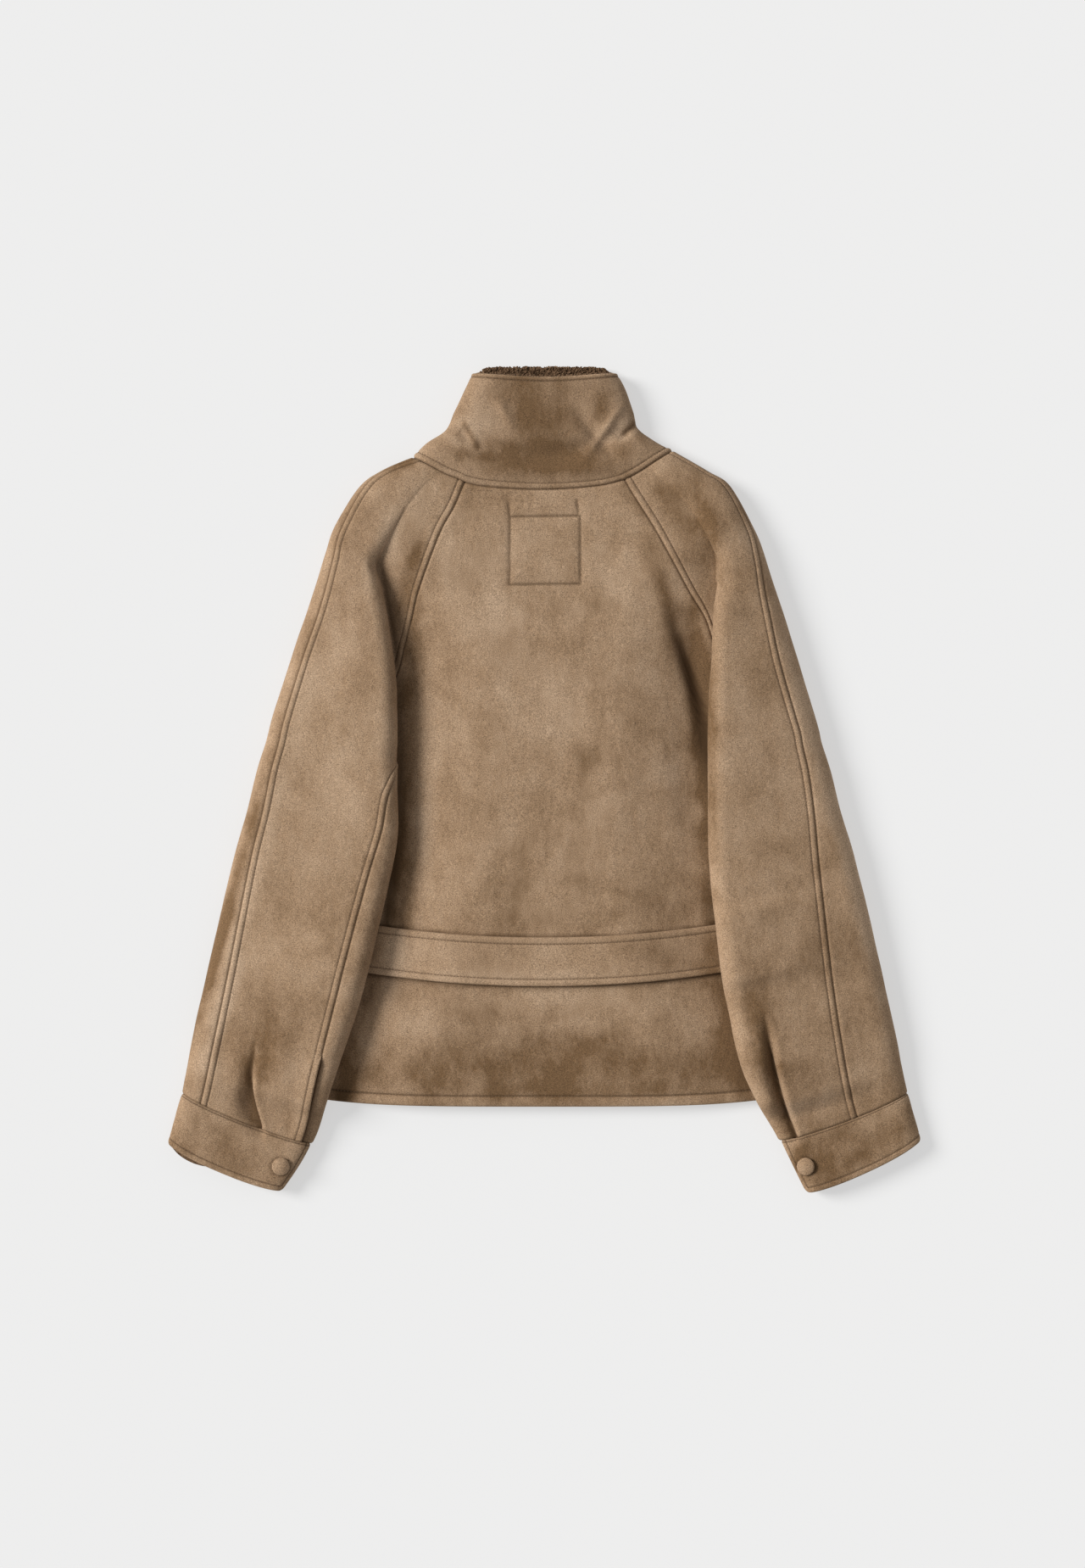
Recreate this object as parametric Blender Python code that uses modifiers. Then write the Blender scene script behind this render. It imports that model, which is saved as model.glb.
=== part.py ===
"""Short raglan jacket of bonded suede with a pile lining, laid flat with its back up.

Millimetres in the tables, metres in the meshes.  +X is the wearer's right, +Y runs to the collar,
+Z is up, and the jacket rests on z = 0.  Every panel is a wall whose outer points come from the
section functions below.
"""
import math

import bpy
import numpy as np
from mathutils import Vector

MM = 0.001

# ---- driving sizes -------------------------------------------------------------------------------
WALL = 4.0                # suede bonded to a pressed pile
SEAM_INSET = 0.15         # each side of a seam, so that two pieces stay 0.3 apart
NECK_INSET = 0.5          # the collar's side of the neck seam
SHOULDER_ROOM = 1.2       # more of it at the shoulder folds
SLEEVE_INSET = 0.25       # the sleeve front's side of its seams
LAYER_GAP = 2.6           # between a folded-down sleeve and what it lies on
SIDE_HEIGHT = 13.0        # body thickness under the sleeves
CROWN_REACH = 110.0       # width over which the back rises from the tucked side to its crown
UNDERARM = (232.0, 48.0)  # where the raglan, side and underarm seams meet
UNDERARM_DIP = 4.2        # the body is pressed thinner there
UNDERARM_SPREAD = 25.0
UNDERARM_GAP = 1.9
UNDERARM_ROOM = 1.7       # more room beside the seams where they all meet
SIDE_TOP = (230.0, 36.0)  # upper end of the side seam
HEM_CORNER = (261.0, -314.0)
HEM_BOW = 14.0            # how far the middle of the hem hangs below its corners
DRAPE_RAMP = 22.0         # sleeve cloth comes down to the surface this far outside the body
NECK_DEPTH_BACK = 7.0
NECK_DEPTH_FRONT = 18.0
ROLL_RADIUS = (12.0, 18.0)    # sleeve's inner roll, below and above its middle
EDGE_RADIUS = (13.0, 22.0)    # sleeve's outer fold, below and above its middle

BELT_WIDTH = 49.0
BELT_THICKNESS = 3.2
BELT_LIFT = 0.7
BELT_MIDDLE_Y = -182.0
BELT_BOW = 12.0           # rise of the belt at BELT_BOW_X from the centre back
BELT_BOW_X = 170.0
BELT_ROOM = 4.2           # extra room that the belt takes under the sleeves
BELT_END_INSET = 10.0     # the belt ends this far inside the side fold

BOW_POWER = 2.4           # how evenly the bow of a sleeve's end is spread across it
CUFF_WALL = 3.6
CUFF_LAP = 30.0           # length of the cuff's end that lies under its buttoned tab
CUFF_LAP_GAP = 0.6
CUFF_LAP_EASE = 45.0
CUFF_TAB_END = 3.0        # the tab ends this far from the roll
BUTTON_DIAMETER = 18.0
BUTTON_HEIGHT = 4.6
BUTTON_FROM_TAB = {-1: 19.0, 1: 14.5}    # button's centre from the tab's end, along the cuff
BUTTON_LIFT = 0.35

LINING_WALL = 4.0
LINING_GAP = 0.35
LINING_RISE = 0.8         # how far the pile facing stands above the front of the collar's edge
COLLAR_LEVELS = (0.0, 0.1, 0.2, 0.32, 0.48, 0.66, 0.83, 1.0)
COLLAR_COLUMN_COUNTS = (7, 6, 9, 6, 7)    # front, shoulder, back neck, shoulder, front
LINING_ROWS = 3           # the pile facing reaches this many rows down inside the collar

SEAM_KNEE = 7.0           # shortest stretch of a sleeve section beside its underarm seam
BEND_WEIGHT = 26.0        # extra length that a bend of one radian counts for between columns

NECK = 0.0
OVERHANG_STATION = 3.0    # below it the sleeve folds over itself
UNDERARM_STATION = 8.0
CLOSED_STATION = 9.0
CUFF_STATION = 16.0

# ---- section tables ------------------------------------------------------------------------------
# One row for each sleeve section from the neck (0) to the cuff's edge (17).  raglan is where the
# section leaves the back panel, valley the tucked fold, roll the inner edge of the folded-down
# sleeve and outer its outer edge.  x is the distance from the centre back.  From section 9 the
# sleeve is a closed tube, and raglan is the middle of its underside.
SECTION_COLUMNS = ("raglan_x", "raglan_y", "valley_x", "valley_y", "roll_x", "roll_y", "outer_x", "outer_y")
SECTIONS = {
    -1: (
        (79, 296, 103, 308, 103, 308, 131, 323.5),
        (90, 272, 123, 291, 123, 291, 164, 309),
        (104, 246, 141, 266, 141, 266, 186, 292),
        (125, 190, 163, 221, 163, 221, 210, 253),
        (132, 162, 160, 192, 161, 193, 219, 227),
        (140, 133, 166, 166, 156, 163, 228, 197),
        (147, 106, 182, 132, 151, 132, 238, 167),
        (168, 72, 208, 90, 147, 92, 252, 127),
        (232, 48, 233, 50, 146, 45, 270, 70),
        (240, 40, 240, 40, 146, 33, 275.5, 50),
        (232, 28, 232, 28, 146, 20, 279, 36),
        (225, -5, 225, -5, 146, -10, 287, 10),
        (222, -50, 222, -50, 146, -55, 297, -30),
        (225, -93, 225, -93, 155, -106, 311, -78),
        (249, -194, 249, -194, 180, -209, 334, -175),
        (272, -275, 272, -275, 206, -289, 352, -257),
        (291, -342, 291, -342, 232, -365, 363, -314),
        (314, -391.5, 314, -391.5, 261, -413.5, 378, -365),
    ),
    1: (
        (81, 298, 104, 313, 104, 313, 129, 330),
        (98, 272, 125, 293, 125, 293, 165, 309),
        (114, 246, 145, 274, 145, 274, 187, 294),
        (145, 190, 170, 230, 170, 230, 210, 253),
        (162, 162, 174, 196, 174, 205, 221, 226),
        (172, 133, 186, 160, 170, 168, 231, 196),
        (184, 106, 200, 128, 167, 132, 241, 166),
        (203, 74, 216, 90, 165, 92, 253, 127),
        (232, 48, 233, 50, 164, 45, 270, 70),
        (240, 40, 240, 40, 164, 33, 276, 50),
        (232, 28, 232, 28, 164, 20, 279, 36),
        (228, -5, 228, -5, 164, -10, 287, 10),
        (228, -50, 228, -50, 164, -55, 297, -30),
        (232, -93, 232, -93, 167, -106, 311, -78),
        (250, -194, 250, -194, 180, -209, 335, -175),
        (268, -275, 268, -275, 198, -289, 353, -257),
        (294, -340, 294, -340, 236, -362, 365, -314),
        (314, -391.7, 314, -391.7, 262, -415.3, 379, -362),
    ),
}

# Heights of each section: the valley above the body, the roll and the crown beside it above what
# they lie on, the crown near the outer edge and that edge above the surface, and the front
# raglan seam on the underside. The bow is how far its middle hangs down the sleeve.
HEIGHT_COLUMNS = ("valley_rise", "roll_rise", "crown_rise", "crown_outer", "edge",
                  "front_x", "front_y", "bow")
HEIGHTS = (
    (0, -2.6, -2.6, 22, 11, 95, 280, 0),
    (1, -1.6, 0, 24, 12, 103, 259, 0),
    (1, -1.6, 1.4, 26, 12, 112, 234, 0),
    (0, -1.6, 9.4, 28, 12.5, 130, 183, 0),
    (1, 4.4, 16.4, 29, 13, 139, 156, 0),
    (1, 9, 21.4, 29.5, 13, 149, 128, 0),
    (0.5, 12, 24.4, 30, 13, 161, 99, 0),
    (0.5, 12, 26, 30, 13, 182, 70, 0),
    (0.2, 12, 26, 30, 13, 232, 48, 0),
    (0, 12, 26, 30, 13, 240, 40, 0),
    (0, 12, 26, 30, 13, 232, 28, 0),
    (0, 12, 26, 30, 13, 225, -5, 0),
    (0, 12, 26, 30, 13, 225, -50, 0),
    (0, 12, 26, 30, 13, 225, -93, 0),
    (0, 12, 26, 29, 13, 249, -194, 0.8),
    (0, 11.5, 25, 27, 12, 272, -275, 2.6),
    (0, 10, 20.5, 21, 10.5, 291, -342, 4.3),
    (0, 9, 19, 19, 9.5, 314, -390, 5.6),
)

# Seams along each sleeve: the overarm seam as a share of the way from roll to outer edge, and the
# underarm seam as millimetres of cloth from the roll, above it (+) or below it (-), from section 9 on.
SEAM_COLUMNS = ("overarm", "underarm")
SEAMS = {
    -1: ((0.90, 0), (0.95, 0), (0.92, 0), (0.87, 0), (0.855, 0), (0.86, 0), (0.87, 0),
         (0.89, 0), (0.90, -110), (0.90, -110), (0.90, -16), (0.90, 13), (0.895, 23), (0.885, 29),
         (0.86, 31), (0.845, 25), (0.845, 16), (0.845, 16)),
    1: ((0.985, 0), (0.985, 0), (0.97, 0), (0.94, 0), (0.88, 0), (0.83, 0), (0.81, 0),
        (0.80, 0), (0.82, -110), (0.825, -110), (0.825, -50), (0.82, -28), (0.80, -22), (0.75, -20),
        (0.685, -20), (0.645, -20), (0.59, -20), (0.59, -20)),
}

# How far out the back still rises, from hem to neck: (y, left, right).
TUCK = ((-340, 234, 232), (-200, 188, 188), (-50, 155, 172), (60, 155, 173), (130, 160, 180),
        (190, 185, 192), (230, 240, 240), (310, 345, 345))

# Height of the back's crown: (y, height).
CROWN = ((-330, 15.5), (-300, 20), (-250, 24), (-120, 26), (150, 26), (240, 25), (310, 23.5))

# Folds in the cloth: the piece each lies on, its path as (x, y, depth), and how wide its two sides
# are, to the left and right of someone who walks along it.
FOLDS = (
    {"on": "sleeve", "path": ((-286, -268, 0), (-291, -295, 5), (-293, -322, 9), (-282, -354, 8)),
     "left": 8, "right": 20},
    {"on": "sleeve", "path": ((220, -232, 0), (227, -262, 5), (233, -300, 9), (251.5, -356, 8)),
     "left": 9, "right": 18},
    {"on": "collar", "path": ((-84, 352, 0), (-70, 343, 3), (0, 324, 4), (70, 343, 3), (84, 352, 0)),
     "left": 15, "right": 15},
    {"on": "collar", "path": ((26, 376, 0), (45, 352, 3), (60, 335, 3), (78, 322, 0)),
     "left": 11, "right": 11},
    {"on": "back", "path": ((150, 185, 0), (146, 120, 4), (152, 40, 5), (150, -60, 0)),
     "left": 24, "right": 34},
)

# Collar levels from neck seam (0) to top edge (1): ends, how far the back and the front line hang
# below them, and the height of the top layer.
COLLAR_COLUMNS = ("level", "left_x", "left_y", "right_x", "right_y", "bow_back", "bow_front", "top", "end")
COLLAR = (
    (0.00, 131, 323.5, 129, 330, 36, 62, 23.5, 11),
    (0.15, 118.5, 336.5, 109, 341, 32, 50, 25, 12),
    (0.30, 98.5, 350, 94.5, 352, 26, 36, 25, 12.5),
    (0.50, 89, 369, 89, 369, 18, 20, 26, 13),
    (0.75, 80, 389, 82, 389, 10, 6, 27, 13.5),
    (1.00, 71.5, 407.5, 73, 407.5, 5, -6.5, 28, 14),
)

COLOURS = {
    "suede": (0.314, 0.209, 0.128, 1.0),
    "suede_belt": (0.326, 0.223, 0.138, 1.0),
    "pile": (0.089, 0.048, 0.023, 1.0),
    "covered_button": (0.267, 0.171, 0.102, 1.0),
}


# ---- curves and tables ---------------------------------------------------------------------------
def smooth(share):
    """Smooth step from 0 to 1."""
    share = np.clip(share, 0.0, 1.0)
    return share * share * (3.0 - 2.0 * share)


def quarter(share):
    """Quarter circle, vertical at 0 and level at 1."""
    share = np.clip(share, 0.0, 1.0)
    return np.sqrt(np.maximum(0.0, 1.0 - (1.0 - share) ** 2))


def through(rows, station):
    """Values of a table at a station between its rows, on a smooth curve through them."""
    rows = np.asarray(rows, dtype=float)
    last = len(rows) - 1
    station = min(max(station, 0.0), float(last))
    i = min(int(station), last - 1)
    s = station - i
    before = rows[max(i - 1, 0)]
    start = rows[i]
    end = rows[i + 1]
    after = rows[min(i + 2, last)]
    rise_in = (end - before) / (2.0 if i > 0 else 1.0)
    rise_out = (after - start) / (2.0 if i < last - 1 else 1.0)
    a = 2 * s ** 3 - 3 * s ** 2 + 1
    b = s ** 3 - 2 * s ** 2 + s
    c = s ** 3 - s ** 2
    return a * start + b * rise_in + (1 - a) * end + c * rise_out


def named(columns, rows, station):
    return dict(zip(columns, through(rows, station)))


def points(plan, z):
    return np.column_stack((plan[:, 0], plan[:, 1], z))


def blend(start, end, share):
    share = np.asarray(share, dtype=float)[:, None]
    return np.asarray(start)[None, :] * (1 - share) + np.asarray(end)[None, :] * share


def eased(count):
    """Shares from 0 to 1 that crowd towards both ends."""
    return 0.5 - 0.5 * np.cos(np.linspace(0.0, math.pi, count))


# ---- heights of the layers -----------------------------------------------------------------------
def side_width(y):
    """Half width of the body at the side fold."""
    share = (SIDE_TOP[1] - np.asarray(y, dtype=float)) / (SIDE_TOP[1] - HEM_CORNER[1])
    return SIDE_TOP[0] + (HEM_CORNER[0] - SIDE_TOP[0]) * np.clip(share, -0.1, 1.1)


def body_top(x, y):
    """Height of the body's upper layer, before folds."""
    ys, left, right = np.array(TUCK, dtype=float).T
    reach = np.where(x < 0, np.interp(y, ys, left), np.interp(y, ys, right))
    crown_ys, crown_heights = np.array(CROWN, dtype=float).T
    crown = np.interp(y, crown_ys, crown_heights)
    across = np.abs(x)
    dip = np.exp(-((across - UNDERARM[0]) ** 2 + (y - UNDERARM[1]) ** 2) / UNDERARM_SPREAD ** 2)
    side = SIDE_HEIGHT - UNDERARM_DIP * dip
    side = side - 2.5 * smooth((HEM_CORNER[1] + 40.0 - y) / 50.0)
    return side + (crown - side) * smooth((reach - across) / CROWN_REACH)


def belt_line(x):
    return BELT_MIDDLE_Y + BELT_BOW * (np.abs(x) / BELT_BOW_X) ** 2


def support(x, y):
    """Height of what a folded-down sleeve lies on: the body, or the surface outside it."""
    from_belt = np.abs(y - np.minimum(belt_line(x), BELT_MIDDLE_Y + 24.0))
    belt = BELT_ROOM * smooth((BELT_WIDTH / 2 + 22.0 - from_belt) / 16.0)
    from_underarm = np.hypot(np.abs(x) - UNDERARM[0], y - UNDERARM[1])
    gap = UNDERARM_GAP + (LAYER_GAP - UNDERARM_GAP) * smooth(from_underarm / UNDERARM_SPREAD)
    beyond_side = np.abs(x) - side_width(y) - 1.0
    beyond_hem = HEM_CORNER[1] - 8.0 - y
    outside = np.hypot(np.maximum(beyond_side, 0.0), np.maximum(beyond_hem, 0.0))
    return (body_top(x, y) + belt + gap) * (1.0 - smooth(outside / DRAPE_RAMP))


def fold_depth(x, y, on):
    """How far a piece's folds push its cloth down at each point."""
    total = np.zeros_like(x)
    for fold in FOLDS:
        if fold["on"] != on:
            continue
        path = np.array([through(fold["path"], s) for s in np.linspace(0, len(fold["path"]) - 1, 25)])
        best = np.full_like(x, np.inf)
        depth = np.zeros_like(x)
        for (ax, ay, ad), (bx, by, bd) in zip(path[:-1], path[1:]):
            ux, uy = bx - ax, by - ay
            along = np.clip(((x - ax) * ux + (y - ay) * uy) / (ux * ux + uy * uy), 0.0, 1.0)
            dx, dy = x - (ax + ux * along), y - (ay + uy * along)
            distance = np.hypot(dx, dy)
            reach = 0.6 * np.where(ux * dy - uy * dx > 0, fold["left"], fold["right"])
            here = (ad + (bd - ad) * along) * np.exp(-(distance / reach) ** 2)
            depth = np.where(distance < best, here, depth)
            best = np.minimum(best, distance)
        total = total + depth
    return total


# ---- sections ------------------------------------------------------------------------------------
def bowed(plan, side, roll, outer, bow):
    """Points across a sleeve moved down along it, most of all in the middle."""
    across = outer - roll
    share = np.clip((plan - roll) @ across / (across @ across), 0, 1)
    return plan + cuff_axis(side)[:2] * (bow * (1 - np.abs(2 * share - 1) ** BOW_POWER))[:, None]


def sleeve_section(side, station):
    """Outer curve of a sleeve section, with the places of its roll, outer edge and closing point."""
    at = named(SECTION_COLUMNS, SECTIONS[side], station)
    up = named(HEIGHT_COLUMNS, HEIGHTS, station)
    raglan, valley, roll, outer = (
        np.array((side * at[name + "_x"], at[name + "_y"])) for name in ("raglan", "valley", "roll", "outer"))
    front = np.array((side * up["front_x"], up["front_y"]))
    closed = min(max(station - UNDERARM_STATION, 0.0), 1.0)
    valley = roll + (valley - roll) * min(max(station - OVERHANG_STATION, 0.0), 1.0)
    if station >= CLOSED_STATION:
        valley = raglan
        front = raglan

    share = np.linspace(0, 1, 25)
    plan = bowed(blend(raglan, valley, share), side, roll, outer, up["bow"])
    z = body_top(plan[:, 0], plan[:, 1]) + up["valley_rise"] * smooth(share)
    z = z - fold_depth(plan[:, 0], plan[:, 1], "back")
    z = z * (1 - closed) + support(plan[:, 0], plan[:, 1]) * closed
    tail = points(plan, z)
    valley_z = tail[-1, 2]

    roll_base = float(support(roll[0], roll[1]))
    roll_z = roll_base + up["roll_rise"]
    share = eased(31)
    plan = blend(valley, roll, share)
    to_roll = np.hypot(*(plan - roll).T)
    plan = bowed(plan, side, roll, outer, up["bow"])
    base = support(plan[:, 0], plan[:, 1])
    base = valley_z + (base - valley_z) * quarter(share * np.hypot(*(roll - valley)) / 3.0)
    radius = max(min(ROLL_RADIUS[0], to_roll[0]), 0.01)
    under = points(plan, base + (roll_z - base) * (1 - quarter(to_roll / radius)))

    share = eased(81)
    plan = bowed(blend(roll, outer, share), side, roll, outer, up["bow"])
    width = np.hypot(*(outer - roll))
    crown = roll_base + up["crown_rise"]
    crown = crown + (up["crown_outer"] - crown) * smooth(share) + 3.0 * share * (1 - share)
    rise = roll_z + (crown - roll_z) * quarter(share * width / ROLL_RADIUS[1])
    z = up["edge"] + (rise - up["edge"]) * quarter((1 - share) * width / EDGE_RADIUS[1])
    flattened = smooth((station - CUFF_STATION) / 0.3)
    z = z - fold_depth(plan[:, 0], plan[:, 1], "sleeve") * (1 - flattened)
    top = points(plan, z)

    share = eased(61)
    plan = blend(outer, front, share)
    to_outer = np.hypot(*(plan - outer).T)
    plan = bowed(plan, side, roll, outer, up["bow"])
    base = support(plan[:, 0], plan[:, 1]) * closed
    z = base + (up["edge"] - base) * (1 - quarter(to_outer / EDGE_RADIUS[0]))
    bottom = points(plan, z)

    curve = np.vstack((tail, under[1:], top[1:], bottom[1:]))
    marks = {"valley": len(tail) - 1}
    marks["roll"] = marks["valley"] + len(under) - 1
    marks["outer"] = marks["roll"] + len(top) - 1
    marks["end"] = len(curve) - 1
    return curve, marks


def with_tangents(curve):
    """A curve's points, each followed by its unit tangent."""
    keep = np.concatenate(((True,), np.linalg.norm(np.diff(curve, axis=0), axis=1) > 1e-5))
    steps = np.concatenate(((0.0,), np.cumsum(np.linalg.norm(np.diff(curve[keep], axis=0), axis=1))))
    tangent = np.empty_like(curve)
    tangent[keep] = np.gradient(curve[keep], steps, axis=0)
    for i in np.flatnonzero(~keep):
        tangent[i] = tangent[i - 1]
    return np.hstack((curve, tangent / np.linalg.norm(tangent, axis=1)[:, None]))


def cut(curve, start, end):
    """The stretch of a curve between two places given as fractional point numbers."""
    numbers = np.arange(len(curve))
    inner = numbers[(numbers > start + 1e-6) & (numbers < end - 1e-6)]
    wanted = np.concatenate(((start,), inner, (end,)))
    return np.column_stack([np.interp(wanted, numbers, column) for column in curve.T])


def overarm_place(side, station, curve, marks):
    share = named(SEAM_COLUMNS, SEAMS[side], station)["overarm"]
    numbers = np.arange(marks["roll"], marks["outer"] + 1)
    return float(np.interp(share, eased(len(numbers)), numbers))


def place_after(curve, place, length):
    """The place on a curve a given length past another, or before it if the length is negative."""
    steps = np.concatenate(((0.0,), np.cumsum(np.linalg.norm(np.diff(curve[:, :3], axis=0), axis=1))))
    numbers = np.arange(len(curve))
    return float(np.interp(np.interp(place, numbers, steps) + length, steps, numbers))


def underarm_place(side, station, curve, marks):
    """Place of the underarm seam: the raglan end above the underarm, then across to the roll."""
    if station <= CLOSED_STATION:
        return 0.0 if station < CLOSED_STATION else float(marks["valley"])
    offset = named(SEAM_COLUMNS, SEAMS[side], station)["underarm"]
    return max(place_after(curve, marks["roll"], offset), float(marks["valley"]))


def sleeve_back_section(side, station):
    """Back half of a sleeve section: under the roll, then over it to the overarm seam."""
    curve, marks = sleeve_section(side, station)
    full = with_tangents(curve)
    start = underarm_place(side, station, curve, marks)
    knee = max(float(marks["roll"]), place_after(curve, start, SEAM_KNEE))
    return cut(full, start, knee), cut(full, knee, overarm_place(side, station, curve, marks))


def sleeve_front_section(side, station):
    """Front half of a sleeve section: over the outer edge, underneath, and round to the underarm seam."""
    curve, marks = sleeve_section(side, station)
    over = overarm_place(side, station, curve, marks)
    end = float(marks["end"])
    knee = place_after(curve, end, -SEAM_KNEE)
    if station > CLOSED_STATION:
        curve = np.vstack((curve, curve[marks["valley"] + 1:marks["outer"]]))
        shift = marks["end"] - marks["valley"]
        end = underarm_place(side, station, curve, marks) + shift
        knee = min(float(marks["roll"] + shift), place_after(curve, end, -SEAM_KNEE))
    full = with_tangents(curve)
    outer = float(marks["outer"])
    return cut(full, over, outer), cut(full, outer, knee), cut(full, knee, end)


def body_edge(station, side):
    """The end of a body section at one side, above and below the underarm."""
    if station <= UNDERARM_STATION:
        at = named(SECTION_COLUMNS, SECTIONS[side], station)
        up = named(HEIGHT_COLUMNS, HEIGHTS, station)
        return (side * at["raglan_x"], at["raglan_y"]), (side * up["front_x"], up["front_y"]), 0.0
    share = station - UNDERARM_STATION
    fold = 1.0
    first = (UNDERARM[1] - SIDE_TOP[1]) / (UNDERARM[1] - HEM_CORNER[1])
    y = UNDERARM[1] + (HEM_CORNER[1] - UNDERARM[1]) * share
    x = float(side_width(y))
    if share < first:
        fold = share / first
        x = UNDERARM[0] + (SIDE_TOP[0] - UNDERARM[0]) * fold
    return (side * x, y), (side * x, y), fold


def body_bow(station):
    """How far the middle of a back section hangs below its ends, and how sharply at the ends."""
    if station <= UNDERARM_STATION:
        return NECK_DEPTH_BACK * (1 - smooth(station / 4.0)), 2.0
    return HEM_BOW * smooth((station - UNDERARM_STATION - 0.3) / 0.7), 4.0


def back_section(station):
    (left_x, left_y), _, fold = body_edge(station, -1)
    (right_x, right_y), _, _ = body_edge(station, 1)
    middle = 0.5 * float(body_top(np.array(left_x), np.array(left_y)))
    radius = middle * fold
    xs = np.linspace(left_x + radius, right_x - radius, 161)
    across = 2 * (xs - left_x) / (right_x - left_x) - 1
    bow, power = body_bow(station)
    ys = left_y + (right_y - left_y) * (across + 1) / 2 - bow * (1 - np.abs(across) ** power)
    zs = body_top(xs, ys) - fold_depth(xs, ys, "back")
    curve = np.column_stack((xs, ys, zs))
    if fold == 0:
        return curve
    turn = np.linspace(0.0, math.pi / 2, 61)[:-1]
    ends = []
    for side, x, top in ((-1, left_x, zs[0]), (1, right_x, zs[-1])):
        seam = top + (middle - top) * fold
        arc_x = x - side * radius * (1 - np.cos(turn))
        arc_y = np.interp(arc_x, xs, ys)
        ends.append(np.column_stack((arc_x, arc_y, seam + (top - seam) * np.sin(turn))))
    return np.vstack((ends[0], curve, ends[1][::-1]))


def front_section(side, station):
    """Outer curve of a front from its seam to the centre front, on the surface."""
    _, (edge_x, edge_y), fold = body_edge(station, side)
    bow, power = body_bow(station)
    if station <= UNDERARM_STATION:
        bow, power = NECK_DEPTH_FRONT * (1 - smooth(station / 4.0)), 2.0
    height = float(body_top(np.array(edge_x), np.array(edge_y)))
    radius = 0.5 * height * fold
    share = np.linspace(0, 1, 81)
    xs = (edge_x - side * radius) * (1 - share)
    across = xs / edge_x
    ys = edge_y - bow * (1 - np.abs(across) ** power)
    curve = np.column_stack((xs, ys, np.zeros_like(xs)))
    if fold > 0:
        turn = np.linspace(0.0, math.pi / 2, 61)[:-1]
        arc_x = edge_x - side * radius * (1 - np.cos(turn))
        arc_z = radius * (1 - np.sin(turn))
        arc_y = edge_y - bow * (1 - np.abs(arc_x / edge_x) ** power)
        curve = np.vstack((np.column_stack((arc_x, arc_y, arc_z)), curve))
    return curve


def neck_ring():
    """The neck seam from the centre front, round the left end, over the back and round again."""
    left, left_marks = sleeve_section(-1, NECK)
    right, right_marks = sleeve_section(1, NECK)
    front_left = front_section(-1, NECK)[::-1]
    front_right = front_section(1, NECK)
    back = back_section(NECK)
    return (
        np.vstack((front_left, left[left_marks["outer"]:][::-1][1:])),
        np.vstack((left[:left_marks["outer"] + 1][::-1], back[1:-1], right[:right_marks["outer"] + 1])),
        np.vstack((right[right_marks["outer"]:], front_right[1:])),
    )


def spread(curve, count):
    """Points spaced evenly along a curve."""
    steps = np.concatenate(((0.0,), np.cumsum(np.linalg.norm(np.diff(curve, axis=0), axis=1))))
    wanted = np.linspace(0, steps[-1], count)
    return np.column_stack([np.interp(wanted, steps, curve[:, k]) for k in range(3)])


def collar_levels(level):
    levels = [row[0] for row in COLLAR]
    station = float(np.interp(level, levels, range(len(levels))))
    return named(COLLAR_COLUMNS, COLLAR, station)


def collar_shape(level):
    """Front left, back and front right stretches of a collar section, before it meets the neck."""
    at = collar_levels(level)
    left = np.array((-at["left_x"], at["left_y"]))
    right = np.array((at["right_x"], at["right_y"]))
    width = np.hypot(*(right - left))

    share = eased(121)
    plan = blend(left, right, share)
    away = np.abs(2 * share - 1)
    plan[:, 1] -= at["bow_back"] * (1 - away ** 1.8)
    edge = np.minimum(share, 1 - share) * width
    z = at["end"] + (at["top"] - at["end"]) * quarter(edge / 26.0)
    back = points(plan, z - fold_depth(plan[:, 0], plan[:, 1], "collar") * smooth(level / 0.1))

    plan = blend(left, right, share)
    plan[:, 1] -= at["bow_front"] * (1 - away ** (1.8 + 1.6 * level))
    z = at["end"] * (1 - quarter(edge / 13.0))
    under = points(plan, z)
    middle = len(share) // 2
    return under[:middle + 1][::-1], back, under[middle:][::-1]


def collar_section(level):
    """Outer curve of the collar from the centre front round the back to the centre front."""
    counts = (90, 200, 90)
    settle = 1 - smooth(level / 0.4)
    stretches = []
    for neck, base, here, count in zip(neck_ring(), collar_shape(0.0), collar_shape(level), counts):
        offset = spread(neck, count) - spread(base, count)
        stretches.append(spread(here, count) + offset * settle)
    curve = with_tangents(np.vstack((stretches[0], stretches[1][1:], stretches[2][1:])))
    back = back_section(NECK)
    whole = spread(neck_ring()[1], counts[1])
    places = [counts[0] - 1 + int(np.argmin(np.linalg.norm(whole - corner, axis=1))) for corner in back[[0, -1]]]
    places = [0, counts[0] - 1, *places, counts[0] + counts[1] - 2, len(curve) - 1]
    return [cut(curve, start, end) for start, end in zip(places[:-1], places[1:])]


def cuff_section(side, station):
    """Outer curve of a cuff from its underlap, round the arm, to the end of the tab over it."""
    curve, marks = sleeve_section(side, station)
    ring = curve[marks["valley"]:]
    steps = np.concatenate(((0.0,), np.cumsum(np.linalg.norm(np.diff(ring, axis=0), axis=1))))
    roll = steps[marks["roll"] - marks["valley"]]
    around = steps[-1]
    places = np.linspace(roll + CUFF_LAP, roll + CUFF_TAB_END - around, 281)
    wrapped = np.mod(places, around)
    loop = np.column_stack([np.interp(wrapped, steps, ring[:, k]) for k in range(3)])
    outward = np.cross(np.gradient(loop, axis=0), cuff_axis(side)) * side
    outward /= np.linalg.norm(outward, axis=1)[:, None]
    sunk = (CUFF_WALL + CUFF_LAP_GAP) * (1 - smooth((roll - places) / CUFF_LAP_EASE))
    return (loop - outward * sunk[:, None])[::-1]


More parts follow.
